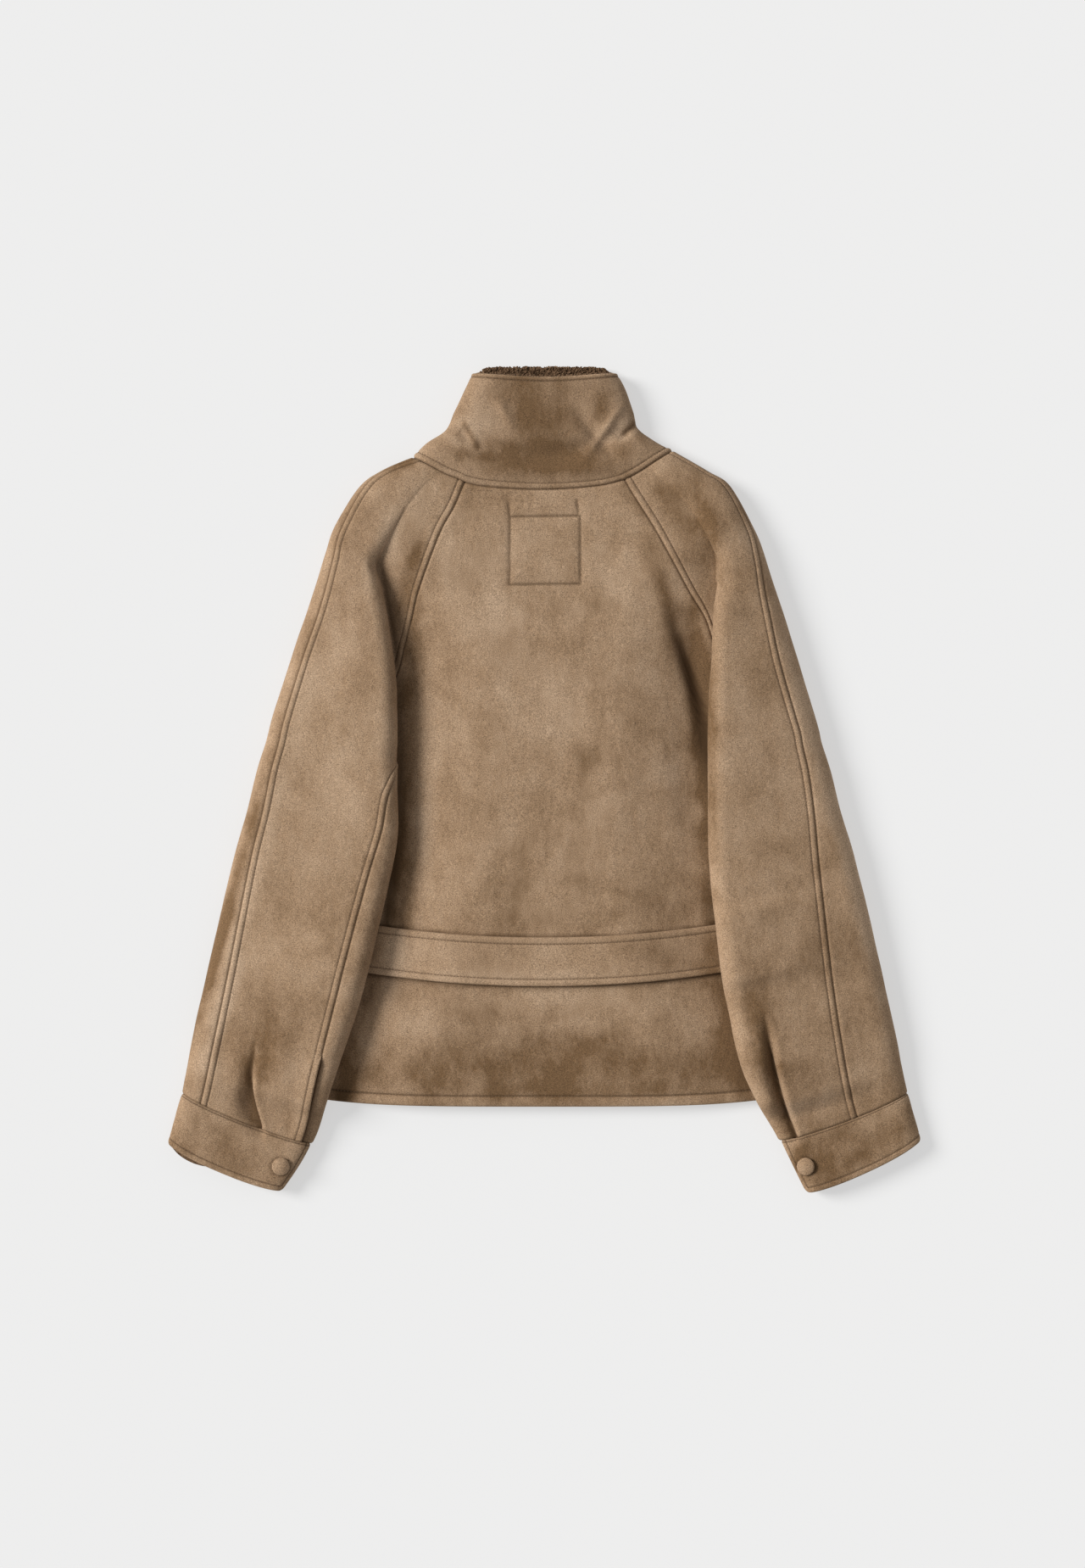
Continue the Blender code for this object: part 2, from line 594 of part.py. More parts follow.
def cuff_axis(side):
    """Direction from the cuff's seam to its edge."""
    seam = named(SECTION_COLUMNS, SECTIONS[side], CUFF_STATION)
    edge = named(SECTION_COLUMNS, SECTIONS[side], CUFF_STATION + 1)
    x = side * (edge["roll_x"] + edge["outer_x"] - seam["roll_x"] - seam["outer_x"])
    y = edge["roll_y"] + edge["outer_y"] - seam["roll_y"] - seam["outer_y"]
    axis = np.array((x, y, 0.0))
    return axis / np.linalg.norm(axis)


# ---- panels --------------------------------------------------------------------------------------
def resampled(stretches, counts):
    """Points and tangents along a section, closer together where it bends."""
    rows = []
    for curve, count in zip(stretches, counts):
        keep = np.concatenate(((True,), np.linalg.norm(np.diff(curve[:, :3], axis=0), axis=1) > 1e-5))
        curve = curve[keep]
        if curve.shape[1] == 3:
            curve = with_tangents(curve)
        lengths = np.linalg.norm(np.diff(curve[:, :3], axis=0), axis=1)
        turns = np.clip(np.sum(curve[1:, 3:] * curve[:-1, 3:], axis=1), -1, 1)
        weight = np.concatenate(((0.0,), np.cumsum(lengths + BEND_WEIGHT * np.arccos(turns))))
        wanted = np.linspace(0, weight[-1], count + 1)
        found = np.column_stack([np.interp(wanted, weight, column) for column in curve.T])
        rows.append(found[1:] if rows else found)
    found = np.vstack(rows)
    return found[:, :3], found[:, 3:] / np.linalg.norm(found[:, 3:], axis=1)[:, None]


def seam_room(seam, inset):
    """How far each point of a seam is moved into its panel; more where all seams meet."""
    away = np.linalg.norm(np.abs(seam) - np.array((*UNDERARM, 0.5 * SIDE_HEIGHT)), axis=1)
    return inset + UNDERARM_ROOM * np.exp(-(away / UNDERARM_SPREAD) ** 2) * (inset > 0)


def pulled_in(rows, normals, inset, end_inset):
    """Rows with their four edges moved into the panel, square to each seam."""
    moved = rows.copy()
    for edge, neighbour, amount in ((0, 1, inset[0]), (-1, -2, inset[1])):
        seam = np.gradient(rows[:, edge], axis=0)
        inward = np.cross(normals[:, edge], seam)
        inward /= np.linalg.norm(inward, axis=1)[:, None]
        towards = np.sign(np.sum(inward * (rows[:, neighbour] - rows[:, edge]), axis=1))
        moved[:, edge] += inward * (seam_room(rows[:, edge], amount) * towards)[:, None]
    for edge, neighbour, amount in ((0, 1, end_inset[0]), (-1, -2, end_inset[1])):
        away = rows[neighbour] - rows[edge]
        moved[edge] += away * (amount / np.linalg.norm(away, axis=1))[:, None]
    return moved


def panel_grid(section, stations, counts, facing, inset=(SEAM_INSET, SEAM_INSET), ends=(None, None),
               end_inset=(SEAM_INSET, SEAM_INSET), step=0.02):
    """Outer points and outward normals of a panel, a row for each station."""
    rows = []
    normals = []
    low, high = stations[0], stations[-1]
    for station in stations:
        here, across = resampled(section(station), counts)
        before, _ = resampled(section(max(station - step, low)), counts)
        after, _ = resampled(section(min(station + step, high)), counts)
        along = after - before
        for end, given in zip((low, high), ends):
            if station == end and given is not None:
                along = np.tile(np.asarray(given, dtype=float), (len(here), 1))
        normal = np.cross(across, along) * facing
        rows.append(here)
        normals.append(normal / np.linalg.norm(normal, axis=1)[:, None])
    rows = np.array(rows)
    normals = np.array(normals)
    return pulled_in(rows, normals, inset, end_inset), normals


def wall_mesh(name, outer, inner):
    """A closed wall between two grids of the same size."""
    rows, columns = outer.shape[:2]
    vertices = np.vstack((outer.reshape(-1, 3), inner.reshape(-1, 3))) * MM
    offset = rows * columns

    def at(i, j, layer):
        return layer * offset + i * columns + j

    faces = []
    for i in range(rows - 1):
        for j in range(columns - 1):
            faces.append((at(i, j, 0), at(i + 1, j, 0), at(i + 1, j + 1, 0), at(i, j + 1, 0)))
            faces.append((at(i, j, 1), at(i, j + 1, 1), at(i + 1, j + 1, 1), at(i + 1, j, 1)))
    for i in range(rows - 1):
        for j, flip in ((0, True), (columns - 1, False)):
            face = (at(i, j, 0), at(i + 1, j, 0), at(i + 1, j, 1), at(i, j, 1))
            faces.append(face[::-1] if flip else face)
    for j in range(columns - 1):
        for i, flip in ((0, False), (rows - 1, True)):
            face = (at(i, j, 0), at(i, j + 1, 0), at(i, j + 1, 1), at(i, j, 1))
            faces.append(face[::-1] if flip else face)
    mesh = bpy.data.meshes.new(name)
    mesh.from_pydata(vertices.tolist(), [], faces)
    mesh.validate()
    face_outwards(mesh)
    mesh.shade_smooth()
    mesh.set_sharp_from_angle(angle=math.radians(40))
    return mesh


def face_outwards(mesh):
    """Turn a closed mesh's faces out, by the sign of the volume they enclose."""
    volume = 0.0
    for polygon in mesh.polygons:
        corners = [mesh.vertices[k].co for k in polygon.vertices]
        for second, third in zip(corners[1:-1], corners[2:]):
            volume += corners[0].dot(second.cross(third))
    if volume < 0:
        mesh.flip_normals()


def material(name):
    made = bpy.data.materials.get(name)
    if made is None:
        made = bpy.data.materials.new(name)
        made.use_nodes = True
        shader = made.node_tree.nodes["Principled BSDF"]
        shader.inputs["Base Color"].default_value = COLOURS[name]
        shader.inputs["Roughness"].default_value = 0.9
        shader.inputs["Metallic"].default_value = 0.0
    return made


def add_piece(collection, name, mesh, finish):
    mesh.materials.append(material(finish))
    piece = bpy.data.objects.new(name, mesh)
    collection.objects.link(piece)
    return piece


def add_panel(collection, name, section, stations, counts, facing, finish="suede", wall=WALL, **options):
    outer, normals = panel_grid(section, stations, counts, facing, **options)
    return add_piece(collection, name, wall_mesh(name, outer, outer - normals * wall), finish)


# ---- pieces --------------------------------------------------------------------------------------
RAGLAN_STATIONS = [0.5 * k for k in range(17)]
# Body stations: neck 0, underarm 8, hem 9.
BODY_STATIONS = RAGLAN_STATIONS + [8.035] + [8 + k / 11 for k in range(1, 11)] + [8.965, 8.985, 9.0]
SLEEVE_STATIONS = (RAGLAN_STATIONS + [9.0, 9.4, 9.7, 10.0, 10.33, 10.67, 11.0, 11.5, 12.0, 12.5, 13.0]
                   + [13 + k / 3 for k in range(1, 7)] + [15 + k / 4 for k in range(1, 5)])


def add_body(collection):
    along = (0.0, -1.0, 0.0)
    add_panel(collection, "back", lambda s: (back_section(s),), BODY_STATIONS, (20,), -1,
              ends=(along, None), end_inset=(SEAM_INSET, 0.0))
    for side, name in ((-1, "front_left"), (1, "front_right")):
        add_panel(collection, name, lambda s, k=side: (front_section(k, s),), BODY_STATIONS, (5,), -side,
                  ends=(along, None), end_inset=(SEAM_INSET, 0.0))


def add_sleeves(collection):
    for side, word in ((-1, "left"), (1, "right")):
        ends = ((0.0, -1.0, 0.0), tuple(cuff_axis(side)))
        add_panel(collection, "sleeve_back_" + word, lambda s, k=side: sleeve_back_section(k, s),
                  SLEEVE_STATIONS, (8, 10), -side, ends=ends)
        add_panel(collection, "sleeve_front_" + word, lambda s, k=side: sleeve_front_section(k, s),
                  SLEEVE_STATIONS, (3, 6, 4), -side, ends=ends,
                  inset=(SLEEVE_INSET, SLEEVE_INSET))


def add_collar(collection):
    outer, normals = panel_grid(collar_section, COLLAR_LEVELS, COLLAR_COLUMN_COUNTS, 1,
                                ends=((0.0, 1.0, 0.0), None), end_inset=(NECK_INSET, 0.0))
    shoulder = SECTIONS[1][0][6]
    room = SHOULDER_ROOM * np.exp(-((np.abs(outer[0, :, 0]) - shoulder) / 12.0) ** 2)
    outer[0, :, 1] += room
    inner = outer - normals * WALL
    add_piece(collection, "collar", wall_mesh("collar", outer, inner), "suede")

    outer = (inner - normals * LINING_GAP)[-LINING_ROWS:]
    inner = outer - normals[-LINING_ROWS:] * LINING_WALL
    for grid in (outer, inner):
        grid[-1, :, 1] += LINING_RISE * (1 - smooth((grid[-1, :, 2] - 2.0) / 12.0))
    add_piece(collection, "collar_lining", wall_mesh("collar_lining", outer, inner), "pile")


def add_belt(collection):
    """Half belt over the back, made from the back's points moved up."""
    reach = float(side_width(BELT_MIDDLE_Y)) - BELT_END_INSET
    xs = np.linspace(-reach, reach, 27)
    rows = []
    for x in xs:
        middle = min(float(belt_line(x)), BELT_MIDDLE_Y + 24.0)
        ys = middle + BELT_WIDTH * np.linspace(-0.5, 0.5, 4)
        across = np.full_like(ys, x)
        rows.append(np.column_stack((across, ys, body_top(across, ys) - fold_depth(across, ys, "back"))))
    rows = np.array(rows)
    lower = rows + np.array((0.0, 0.0, BELT_LIFT))
    upper = lower + np.array((0.0, 0.0, BELT_THICKNESS))
    add_piece(collection, "belt", wall_mesh("belt", upper, lower), "suede_belt")


def add_cuffs(collection):
    for side, word in ((-1, "left"), (1, "right")):
        axis = tuple(cuff_axis(side))
        add_panel(collection, "cuff_" + word, lambda s, k=side: (cuff_section(k, s),),
                  [CUFF_STATION + k / 3 for k in range(4)], (36,), -side, wall=CUFF_WALL,
                  inset=(0.0, 0.0), ends=(axis, axis), end_inset=(SEAM_INSET, 0.0))


def button_mesh(name):
    """A covered button: a low dome with a rounded rim, turned about its axis."""
    radius = BUTTON_DIAMETER / 2
    rim = 1.5
    profile = [(0.0, BUTTON_HEIGHT)]
    for k in range(1, 5):
        share = k / 4
        profile.append((radius * 0.9 * share, BUTTON_HEIGHT - (BUTTON_HEIGHT - rim - 0.7) * share ** 2))
    profile += [(radius, rim), (radius, 0.3), (radius - 0.3, 0.0), (0.0, 0.0)]
    mesh = bpy.data.meshes.new(name)
    edges = [(k, k + 1) for k in range(len(profile) - 1)]
    mesh.from_pydata([(r * MM, 0.0, z * MM) for r, z in profile], edges, [])
    return mesh


def add_buttons(collection):
    for side, word in ((-1, "left"), (1, "right")):
        curve = cuff_section(side, CUFF_STATION + 0.5)
        steps = np.concatenate(((0.0,), np.cumsum(np.linalg.norm(np.diff(curve, axis=0), axis=1))))
        near = [np.array([np.interp(BUTTON_FROM_TAB[side] + d, steps, curve[:, k]) for k in range(3)])
                for d in (-0.4 * BUTTON_DIAMETER, 0.0, 0.4 * BUTTON_DIAMETER)]
        outward = np.cross(near[2] - near[0], cuff_axis(side)) * -side
        outward /= np.linalg.norm(outward)
        piece = add_piece(collection, "button_" + word, button_mesh("button_" + word), "covered_button")
        piece.location = (near[1] + outward * BUTTON_LIFT) * MM
        piece.rotation_mode = "QUATERNION"
        piece.rotation_quaternion = Vector((0, 0, 1)).rotation_difference(Vector(outward))
        turn = piece.modifiers.new("turn", "SCREW")
        turn.angle = math.tau
        turn.steps = 16
        turn.render_steps = 16
        turn.use_merge_vertices = True
        turn.merge_threshold = 0.00001
        turn.use_normal_calculate = True


def main():
    for old in list(bpy.data.objects):
        bpy.data.objects.remove(old, do_unlink=True)
    jacket = bpy.data.collections.new("suede_jacket")
    bpy.context.scene.collection.children.link(jacket)
    add_body(jacket)
    add_sleeves(jacket)
    add_collar(jacket)
    add_belt(jacket)
    add_cuffs(jacket)
    add_buttons(jacket)


main()
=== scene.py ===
import math
import time

import bpy
import numpy as np
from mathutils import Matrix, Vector


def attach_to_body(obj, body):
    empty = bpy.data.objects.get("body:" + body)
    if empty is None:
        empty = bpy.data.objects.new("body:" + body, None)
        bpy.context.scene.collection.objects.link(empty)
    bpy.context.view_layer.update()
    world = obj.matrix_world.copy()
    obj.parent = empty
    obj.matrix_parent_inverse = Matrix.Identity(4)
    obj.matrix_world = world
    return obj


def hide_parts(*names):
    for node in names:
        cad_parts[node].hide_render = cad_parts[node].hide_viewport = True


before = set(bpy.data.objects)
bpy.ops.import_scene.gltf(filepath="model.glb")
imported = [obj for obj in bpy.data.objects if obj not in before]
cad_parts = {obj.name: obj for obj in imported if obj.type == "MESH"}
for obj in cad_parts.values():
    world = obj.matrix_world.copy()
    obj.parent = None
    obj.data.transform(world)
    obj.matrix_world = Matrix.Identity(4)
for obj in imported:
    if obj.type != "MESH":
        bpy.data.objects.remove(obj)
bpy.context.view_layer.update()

# Short raglan jacket of bonded suede, laid flat with its back up.
# Tables are in millimetres; +X is the wearer's right, +Y runs to the collar, +Z is up.
mm = 0.001
started = time.time()


def say(words):
    print("jacket: %s (%.0f s)" % (words, time.time() - started))


# ---- sizes and tables

garment = {
    "wall": 4.0,                  # suede bonded to a pressed pile
    "layerGap": 2.6,              # between a folded-down sleeve and what it lies on
    "sideHeight": 13.0,           # body thickness under the sleeves
    "crownReach": 110.0,          # width over which the back rises to its crown
    "underarm": (232.0, 48.0),    # where back, front and both sleeve halves meet
    "underarmDip": 4.2,           # the body is pressed thinner there
    "underarmSpread": 25.0,
    "underarmGap": 1.9,
    "sideTop": (230.0, 36.0),
    "hemCorner": (261.0, -314.0),
    "hemBow": 14.0,
    "hemBowFrom": 0.3,            # share of the way down at which the hem's bow begins
    "hemThinning": 2.5,
    "hemThinFrom": 40.0,          # height above the corner, and length, of the thinning
    "hemThinLength": 50.0,
    "drapeFrom": (1.0, 8.0),      # beyond the side and beyond the hem
    "drapeRamp": 22.0,            # a sleeve comes down to the surface this far outside the body
    "neckDepthBack": 7.0,
    "neckDepthFront": 18.0,
    "neckBowStations": 4.0,
    "rollRadius": (12.0, 18.0),   # a sleeve's inner roll, below and above its middle
    "edgeRadius": (13.0, 22.0),   # a sleeve's outer fold, below and above its middle
    "tuckEase": 3.0,
    "crownSwell": 3.0,
    "pleatEase": 0.3,             # sections over which a pleat ends below the cuff's seam
    "overhangStation": 3.0,       # from here on the sleeve folds over itself
    "underarmStation": 8.0,
    "closedStation": 9.0,         # from here on it is a closed tube
    "cuffStation": 16.0,
    "cuffEdgeStation": 17.0,
    "hemStation": 9.0,
}

# One row for each sleeve section from the neck to the cuff's edge: where it leaves the back, the
# tucked fold, the inner roll and the outer edge, as x from the centre back and y.
sectionColumns = ("raglanX", "raglanY", "valleyX", "valleyY", "rollX", "rollY", "outerX", "outerY")
sections = {
    -1: (
        (79, 296, 103, 308, 103, 308, 131, 323.5),
        (90, 272, 123, 291, 123, 291, 164, 309),
        (104, 246, 141, 266, 141, 266, 186, 292),
        (125, 190, 163, 221, 163, 221, 210, 253),
        (132, 162, 160, 192, 161, 193, 219, 227),
        (140, 133, 166, 166, 156, 163, 228, 197),
        (147, 106, 182, 132, 151, 132, 238, 167),
        (168, 72, 208, 90, 147, 92, 252, 127),
        (232, 48, 233, 50, 146, 45, 270, 70),
        (240, 40, 240, 40, 146, 33, 275.5, 50),
        (232, 28, 232, 28, 146, 20, 279, 36),
        (225, -5, 225, -5, 146, -10, 287, 10),
        (222, -50, 222, -50, 146, -55, 297, -30),
        (225, -93, 225, -93, 155, -106, 311, -78),
        (249, -194, 249, -194, 180, -209, 334, -175),
        (272, -275, 272, -275, 206, -289, 352, -257),
        (291, -342, 291, -342, 232, -365, 363, -314),
        (314, -391.5, 314, -391.5, 261, -413.5, 378, -365),
    ),
    1: (
        (81, 298, 104, 313, 104, 313, 129, 330),
        (98, 272, 125, 293, 125, 293, 165, 309),
        (114, 246, 145, 274, 145, 274, 187, 294),
        (145, 190, 170, 230, 170, 230, 210, 253),
        (162, 162, 174, 196, 174, 205, 221, 226),
        (172, 133, 186, 160, 170, 168, 231, 196),
        (184, 106, 200, 128, 167, 132, 241, 166),
        (203, 74, 216, 90, 165, 92, 253, 127),
        (232, 48, 233, 50, 164, 45, 270, 70),
        (240, 40, 240, 40, 164, 33, 276, 50),
        (232, 28, 232, 28, 164, 20, 279, 36),
        (228, -5, 228, -5, 164, -10, 287, 10),
        (228, -50, 228, -50, 164, -55, 297, -30),
        (232, -93, 232, -93, 167, -106, 311, -78),
        (250, -194, 250, -194, 180, -209, 335, -175),
        (268, -275, 268, -275, 198, -289, 353, -257),
        (294, -340, 294, -340, 236, -362, 365, -314),
        (314, -391.7, 314, -391.7, 262, -415.3, 379, -362),
    ),
}

# Heights of each section: valley, roll, crown beside it, crown near the outer edge, that edge; where
# the front raglan seam lies underneath; how far the sleeve's middle hangs below its edges.
heightColumns = ("valleyRise", "rollRise", "crownRise", "crownOuter", "edge", "frontX", "frontY", "bow")
heights = (
    (0, -2.6, -2.6, 22, 11, 95, 280, 0),
    (1, -1.6, 0, 24, 12, 103, 259, 0),
    (1, -1.6, 1.4, 26, 12, 112, 234, 0),
    (0, -1.6, 9.4, 28, 12.5, 130, 183, 0),
    (1, 4.4, 16.4, 29, 13, 139, 156, 0),
    (1, 9, 21.4, 29.5, 13, 149, 128, 0),
    (0.5, 12, 24.4, 30, 13, 161, 99, 0),
    (0.5, 12, 26, 30, 13, 182, 70, 0),
    (0.2, 12, 26, 30, 13, 232, 48, 0),
    (0, 12, 26, 30, 13, 240, 40, 0),
    (0, 12, 26, 30, 13, 232, 28, 0),
    (0, 12, 26, 30, 13, 225, -5, 0),
    (0, 12, 26, 30, 13, 225, -50, 0),
    (0, 12, 26, 30, 13, 225, -93, 0),
    (0, 12, 26, 29, 13, 249, -194, 0.8),
    (0, 11.5, 25, 27, 12, 272, -275, 2.6),
    (0, 10, 20.5, 21, 10.5, 291, -342, 4.3),
    (0, 9, 19, 19, 9.5, 314, -390, 5.6),
)

# Overarm seam as a share from roll to outer edge, underarm seam as millimetres of cloth from the roll.
seamColumns = ("overarm", "underarm")
seams = {
    -1: ((0.90, 0), (0.95, 0), (0.92, 0), (0.87, 0), (0.855, 0), (0.86, 0), (0.87, 0),
         (0.89, 0), (0.90, -110), (0.90, -110), (0.90, -16), (0.90, 13), (0.895, 23), (0.885, 29),
         (0.86, 31), (0.845, 25), (0.845, 16), (0.845, 16)),
    1: ((0.985, 0), (0.985, 0), (0.97, 0), (0.94, 0), (0.88, 0), (0.83, 0), (0.81, 0),
        (0.80, 0), (0.82, -110), (0.825, -110), (0.825, -50), (0.82, -28), (0.80, -22), (0.75, -20),
        (0.685, -20), (0.645, -20), (0.59, -20), (0.59, -20)),
}

# y, and how far from the centre back the body is tucked in under the sleeves, left and right
tuck = ((-340, 234, 232), (-200, 188, 188), (-50, 155, 172), (60, 155, 173), (130, 160, 180),
        (190, 185, 192), (230, 240, 240), (310, 345, 345))
# y, and height of the back's crown
crown = ((-330, 15.5), (-300, 20), (-250, 24), (-120, 26), (150, 26), (240, 25), (310, 23.5))

collarColumns = ("level", "leftX", "leftY", "rightX", "rightY", "bowBack", "bowFront", "top", "end")
collarLevels = (
    (0.00, 131, 323.5, 129, 330, 36, 62, 23.5, 11),
    (0.15, 118.5, 336.5, 109, 341, 32, 50, 25, 12),
    (0.30, 98.5, 350, 94.5, 352, 26, 36, 25, 12.5),
    (0.50, 89, 369, 89, 369, 18, 20, 26, 13),
    (0.75, 80, 389, 82, 389, 10, 6, 27, 13.5),
    (1.00, 71.5, 407.5, 73, 407.5, 5, -4.8, 28, 14),
)

collarEase = {
    "upperEdge": 26.0,            # rounding of the flattened ring's ends, above and below
    "underEdge": 13.0,
    "squareFrom": 0.7,            # level from which the front's rim squares up
    "foldLevel": 0.1,             # the folds begin above this level
    "neckLevel": 0.4,             # up to here it keeps some of the neck seam's shape
}

# Folds of each panel: reach on the left and on the right of the walk along the path, then the path
# as x, y and depth.  The main ones bend the whole wall.
mainFolds = {
    "sleeve": (
        (5, 20, ((-286, -268, 0), (-291, -295, 5), (-293, -322, 9), (-282, -354, 3.5))),
        (6, 18, ((220, -232, 0), (227, -262, 5), (233, -300, 9), (251.5, -356, 4)))),
    "collar": (
        (15, 15, ((-84, 352, 0), (-70, 343, 3), (0, 324, 4), (70, 343, 3), (84, 352, 0))),
        (11, 11, ((26, 376, 0), (45, 352, 3), (60, 335, 3), (78, 322, 0)))),
    "back": (
        (24, 34, ((150, 185, 0), (146, 120, 4), (152, 40, 5), (150, -60, 0))),),
}

# Small creases in the face of the cloth; a negative depth is a ridge.
fineFolds = {
    "collar": (
        (5, 7, ((-96, 352, 0), (-84, 349, 3.2), (-78, 344, 2.4), (-70, 336, 0))),
        (6, 6, ((-76, 346, 0), (-70, 338, -1.6), (-66, 330, 0))),
        (6, 5, ((96, 356, 0), (87, 351, 2.8), (80, 344, 2.0), (74, 338, 0))),
        (9, 9, ((-52, 388, 0), (-40, 368, -2.6), (-28, 350, 0))),
        (8, 8, ((82, 380, 0), (64, 354, -3.0), (46, 328, -1.8), (36, 314, 0))),
        (9, 9, ((-100, 322, 0), (-40, 308, -1.2), (40, 308, -1.2), (100, 325, 0)))),
    "sleeve": (
        (16, 16, ((-318, -238, 0), (-322, -262, 1.5), (-318, -292, 1.0), (-312, -320, 0))),
        (18, 18, ((-262, -240, 0), (-262, -280, -1.8), (-264, -330, 0))),
        (10, 12, ((-346, -296, 0), (-350, -318, 2.2), (-352, -336, 0))),
        (8, 14, ((-172, 232, 0), (-166, 214, 3), (-162, 196, 1))),
        (16, 10, ((206, -222, 0), (216, -262, -1.6), (228, -316, 0))),
        (14, 10, ((186, 218, 0), (182, 196, 1.8), (178, 176, 0)))),
    "back": (
        (30, 34, ((-150, -215, 0), (-152, -240, -2.2), (-140, -272, 0))),
        (26, 26, ((-120, 150, 0), (-128, 60, 2.0), (-132, -60, 2.0), (-128, -140, 0))),
        (26, 26, ((110, 40, 0), (126, -30, -1.6), (130, -110, 0))),
        (20, 26, ((-60, -240, 0), (0, -262, 1.2), (70, -250, 0))),
        (9, 20, ((112, 186, 0), (130, 128, -2.0), (144, 80, -2.8), (150, 28, -2.0), (152, -30, 0))),
        (6, 7, ((122, 180, 0), (143, 121, 1.4), (157, 77, 2.2), (163, 33, 1.4), (165, -12, 0)))),
}


# ---- curves

def clamp(value):
    return min(max(value, 0.0), 1.0)


def smooth(share):
    share = np.clip(share, 0.0, 1.0)
    return share * share * (3.0 - 2.0 * share)


def quarter(share):
    # the rise of a quarter circle
    share = np.clip(share, 0.0, 1.0)
    return np.sqrt(np.maximum(0.0, 1.0 - (1.0 - share) ** 2))


def gauss(distance, width):
    return np.exp(-(distance / width) ** 2)


def eased(count):
    return 0.5 - 0.5 * np.cos(np.linspace(0.0, math.pi, count))


def blend(start, end, share):
    share = np.asarray(share, dtype=float)[:, None]
    return np.asarray(start)[None, :] * (1 - share) + np.asarray(end)[None, :] * share


def withHeight(plan, z):
    return np.column_stack((plan[:, 0], plan[:, 1], z))


def through(rows, station):
    # a smooth curve through the rows of a table
    rows = np.asarray(rows, dtype=float)
    last = len(rows) - 1
    station = min(max(station, 0.0), float(last))
    i = min(int(station), last - 1)
    s = station - i
    before, start, end, after = rows[max(i - 1, 0)], rows[i], rows[i + 1], rows[min(i + 2, last)]
    riseIn = (end - before) / (2.0 if i > 0 else 1.0)
    riseOut = (after - start) / (2.0 if i < last - 1 else 1.0)
    a = 2 * s ** 3 - 3 * s ** 2 + 1
    return a * start + (s ** 3 - 2 * s ** 2 + s) * riseIn + (1 - a) * end + (s ** 3 - s ** 2) * riseOut


def named(columns, rows, station):
    return dict(zip(columns, through(rows, station)))


def readPath(rows, count):
    return np.array([through(rows, s) for s in np.linspace(0, len(rows) - 1, count)])


def nearest(x, y, line):
    # distance to a path, the path's third value there, and whether that is on the left of the walk
    best, value, onLeft = np.full(x.shape, np.inf), np.zeros(x.shape), np.zeros(x.shape, dtype=bool)
    for (ax, ay, start), (bx, by, end) in zip(line[:-1], line[1:]):
        ux, uy = bx - ax, by - ay
        along = np.clip(((x - ax) * ux + (y - ay) * uy) / (ux * ux + uy * uy), 0.0, 1.0)
        dx, dy = x - (ax + ux * along), y - (ay + uy * along)
        distance = np.hypot(dx, dy)
        nearer = distance < best
        value = np.where(nearer, start + (end - start) * along, value)
        onLeft = np.where(nearer, ux * dy - uy * dx > 0, onLeft)
        best = np.minimum(best, distance)
    return best, value, onLeft


def cloud(x, y, size, seed):
    # soft random hills between -1 and 1
    table = np.random.default_rng(seed).random((64, 64)) * 2 - 1
    gx, gy = np.asarray(x) / size, np.asarray(y) / size
    ix, iy = np.floor(gx).astype(int), np.floor(gy).astype(int)
    fx, fy = smooth(gx - ix), smooth(gy - iy)
    ix, iy, jx, jy = ix % 64, iy % 64, (ix + 1) % 64, (iy + 1) % 64
    low = table[ix, iy] * (1 - fx) + table[jx, iy] * fx
    high = table[ix, jy] * (1 - fx) + table[jx, jy] * fx
    return low * (1 - fy) + high * fy


for folds in (mainFolds, fineFolds):
    for on, rows in folds.items():
        folds[on] = [(left, right, readPath(path, 25)) for left, right, path in rows]


def foldDepth(x, y, folds):
    total = np.zeros_like(x)
    for left, right, line in folds:
        near = 1.8 * max(left, right)
        low, high = line.min(axis=0) - near, line.max(axis=0) + near
        inside = (x > low[0]) & (x < high[0]) & (y > low[1]) & (y < high[1])
        if inside.any():
            distance, depth, onLeft = nearest(x[inside], y[inside], line)
            total[inside] += depth * gauss(distance, 0.6 * np.where(onLeft, left, right))
    return total


# ---- heights of the layers

def sideWidth(y):
    top, corner = garment["sideTop"], garment["hemCorner"]
    share = (top[1] - np.asarray(y, dtype=float)) / (top[1] - corner[1])
    return top[0] + (corner[0] - top[0]) * np.clip(share, -0.1, 1.1)


def bodyTop(x, y):
    ys, left, right = np.array(tuck, dtype=float).T
    reach = np.where(x < 0, np.interp(y, ys, left), np.interp(y, ys, right))
    crownYs, crownHeights = np.array(crown, dtype=float).T
    across = np.abs(x)
    arm = garment["underarm"]
    dip = np.exp(-((across - arm[0]) ** 2 + (y - arm[1]) ** 2) / garment["underarmSpread"] ** 2)
    side = garment["sideHeight"] - garment["underarmDip"] * dip
    thin = smooth((garment["hemCorner"][1] + garment["hemThinFrom"] - y) / garment["hemThinLength"])
    side = side - garment["hemThinning"] * thin
    rise = smooth((reach - across) / garment["crownReach"])
    return side + (np.interp(y, crownYs, crownHeights) - side) * rise


belt = {
    "width": 49.0,
    "thickness": 3.2,
    "lift": 0.7,
    "middleY": -182.0,
    "bow": 12.0,               # rise of the belt at bowX from the centre back
    "bowX": 170.0,
    "highest": 24.0,
    "room": 4.2,               # a sleeve lies this much higher over the belt
    "roomReach": 22.0,
    "roomRamp": 16.0,
    "endInset": 10.0,
    "stitchInset": 7.0,
    "edgeSteps": (0, 0.4, 0.9, 1.6, 2.6, 4.0, 5.4, 6.3, 6.7, 7.0, 7.3, 7.7, 8.6, 10.0),
}


def beltLine(x):
    rise = belt["bow"] * (np.abs(x) / belt["bowX"]) ** 2
    return np.minimum(belt["middleY"] + rise, belt["middleY"] + belt["highest"])


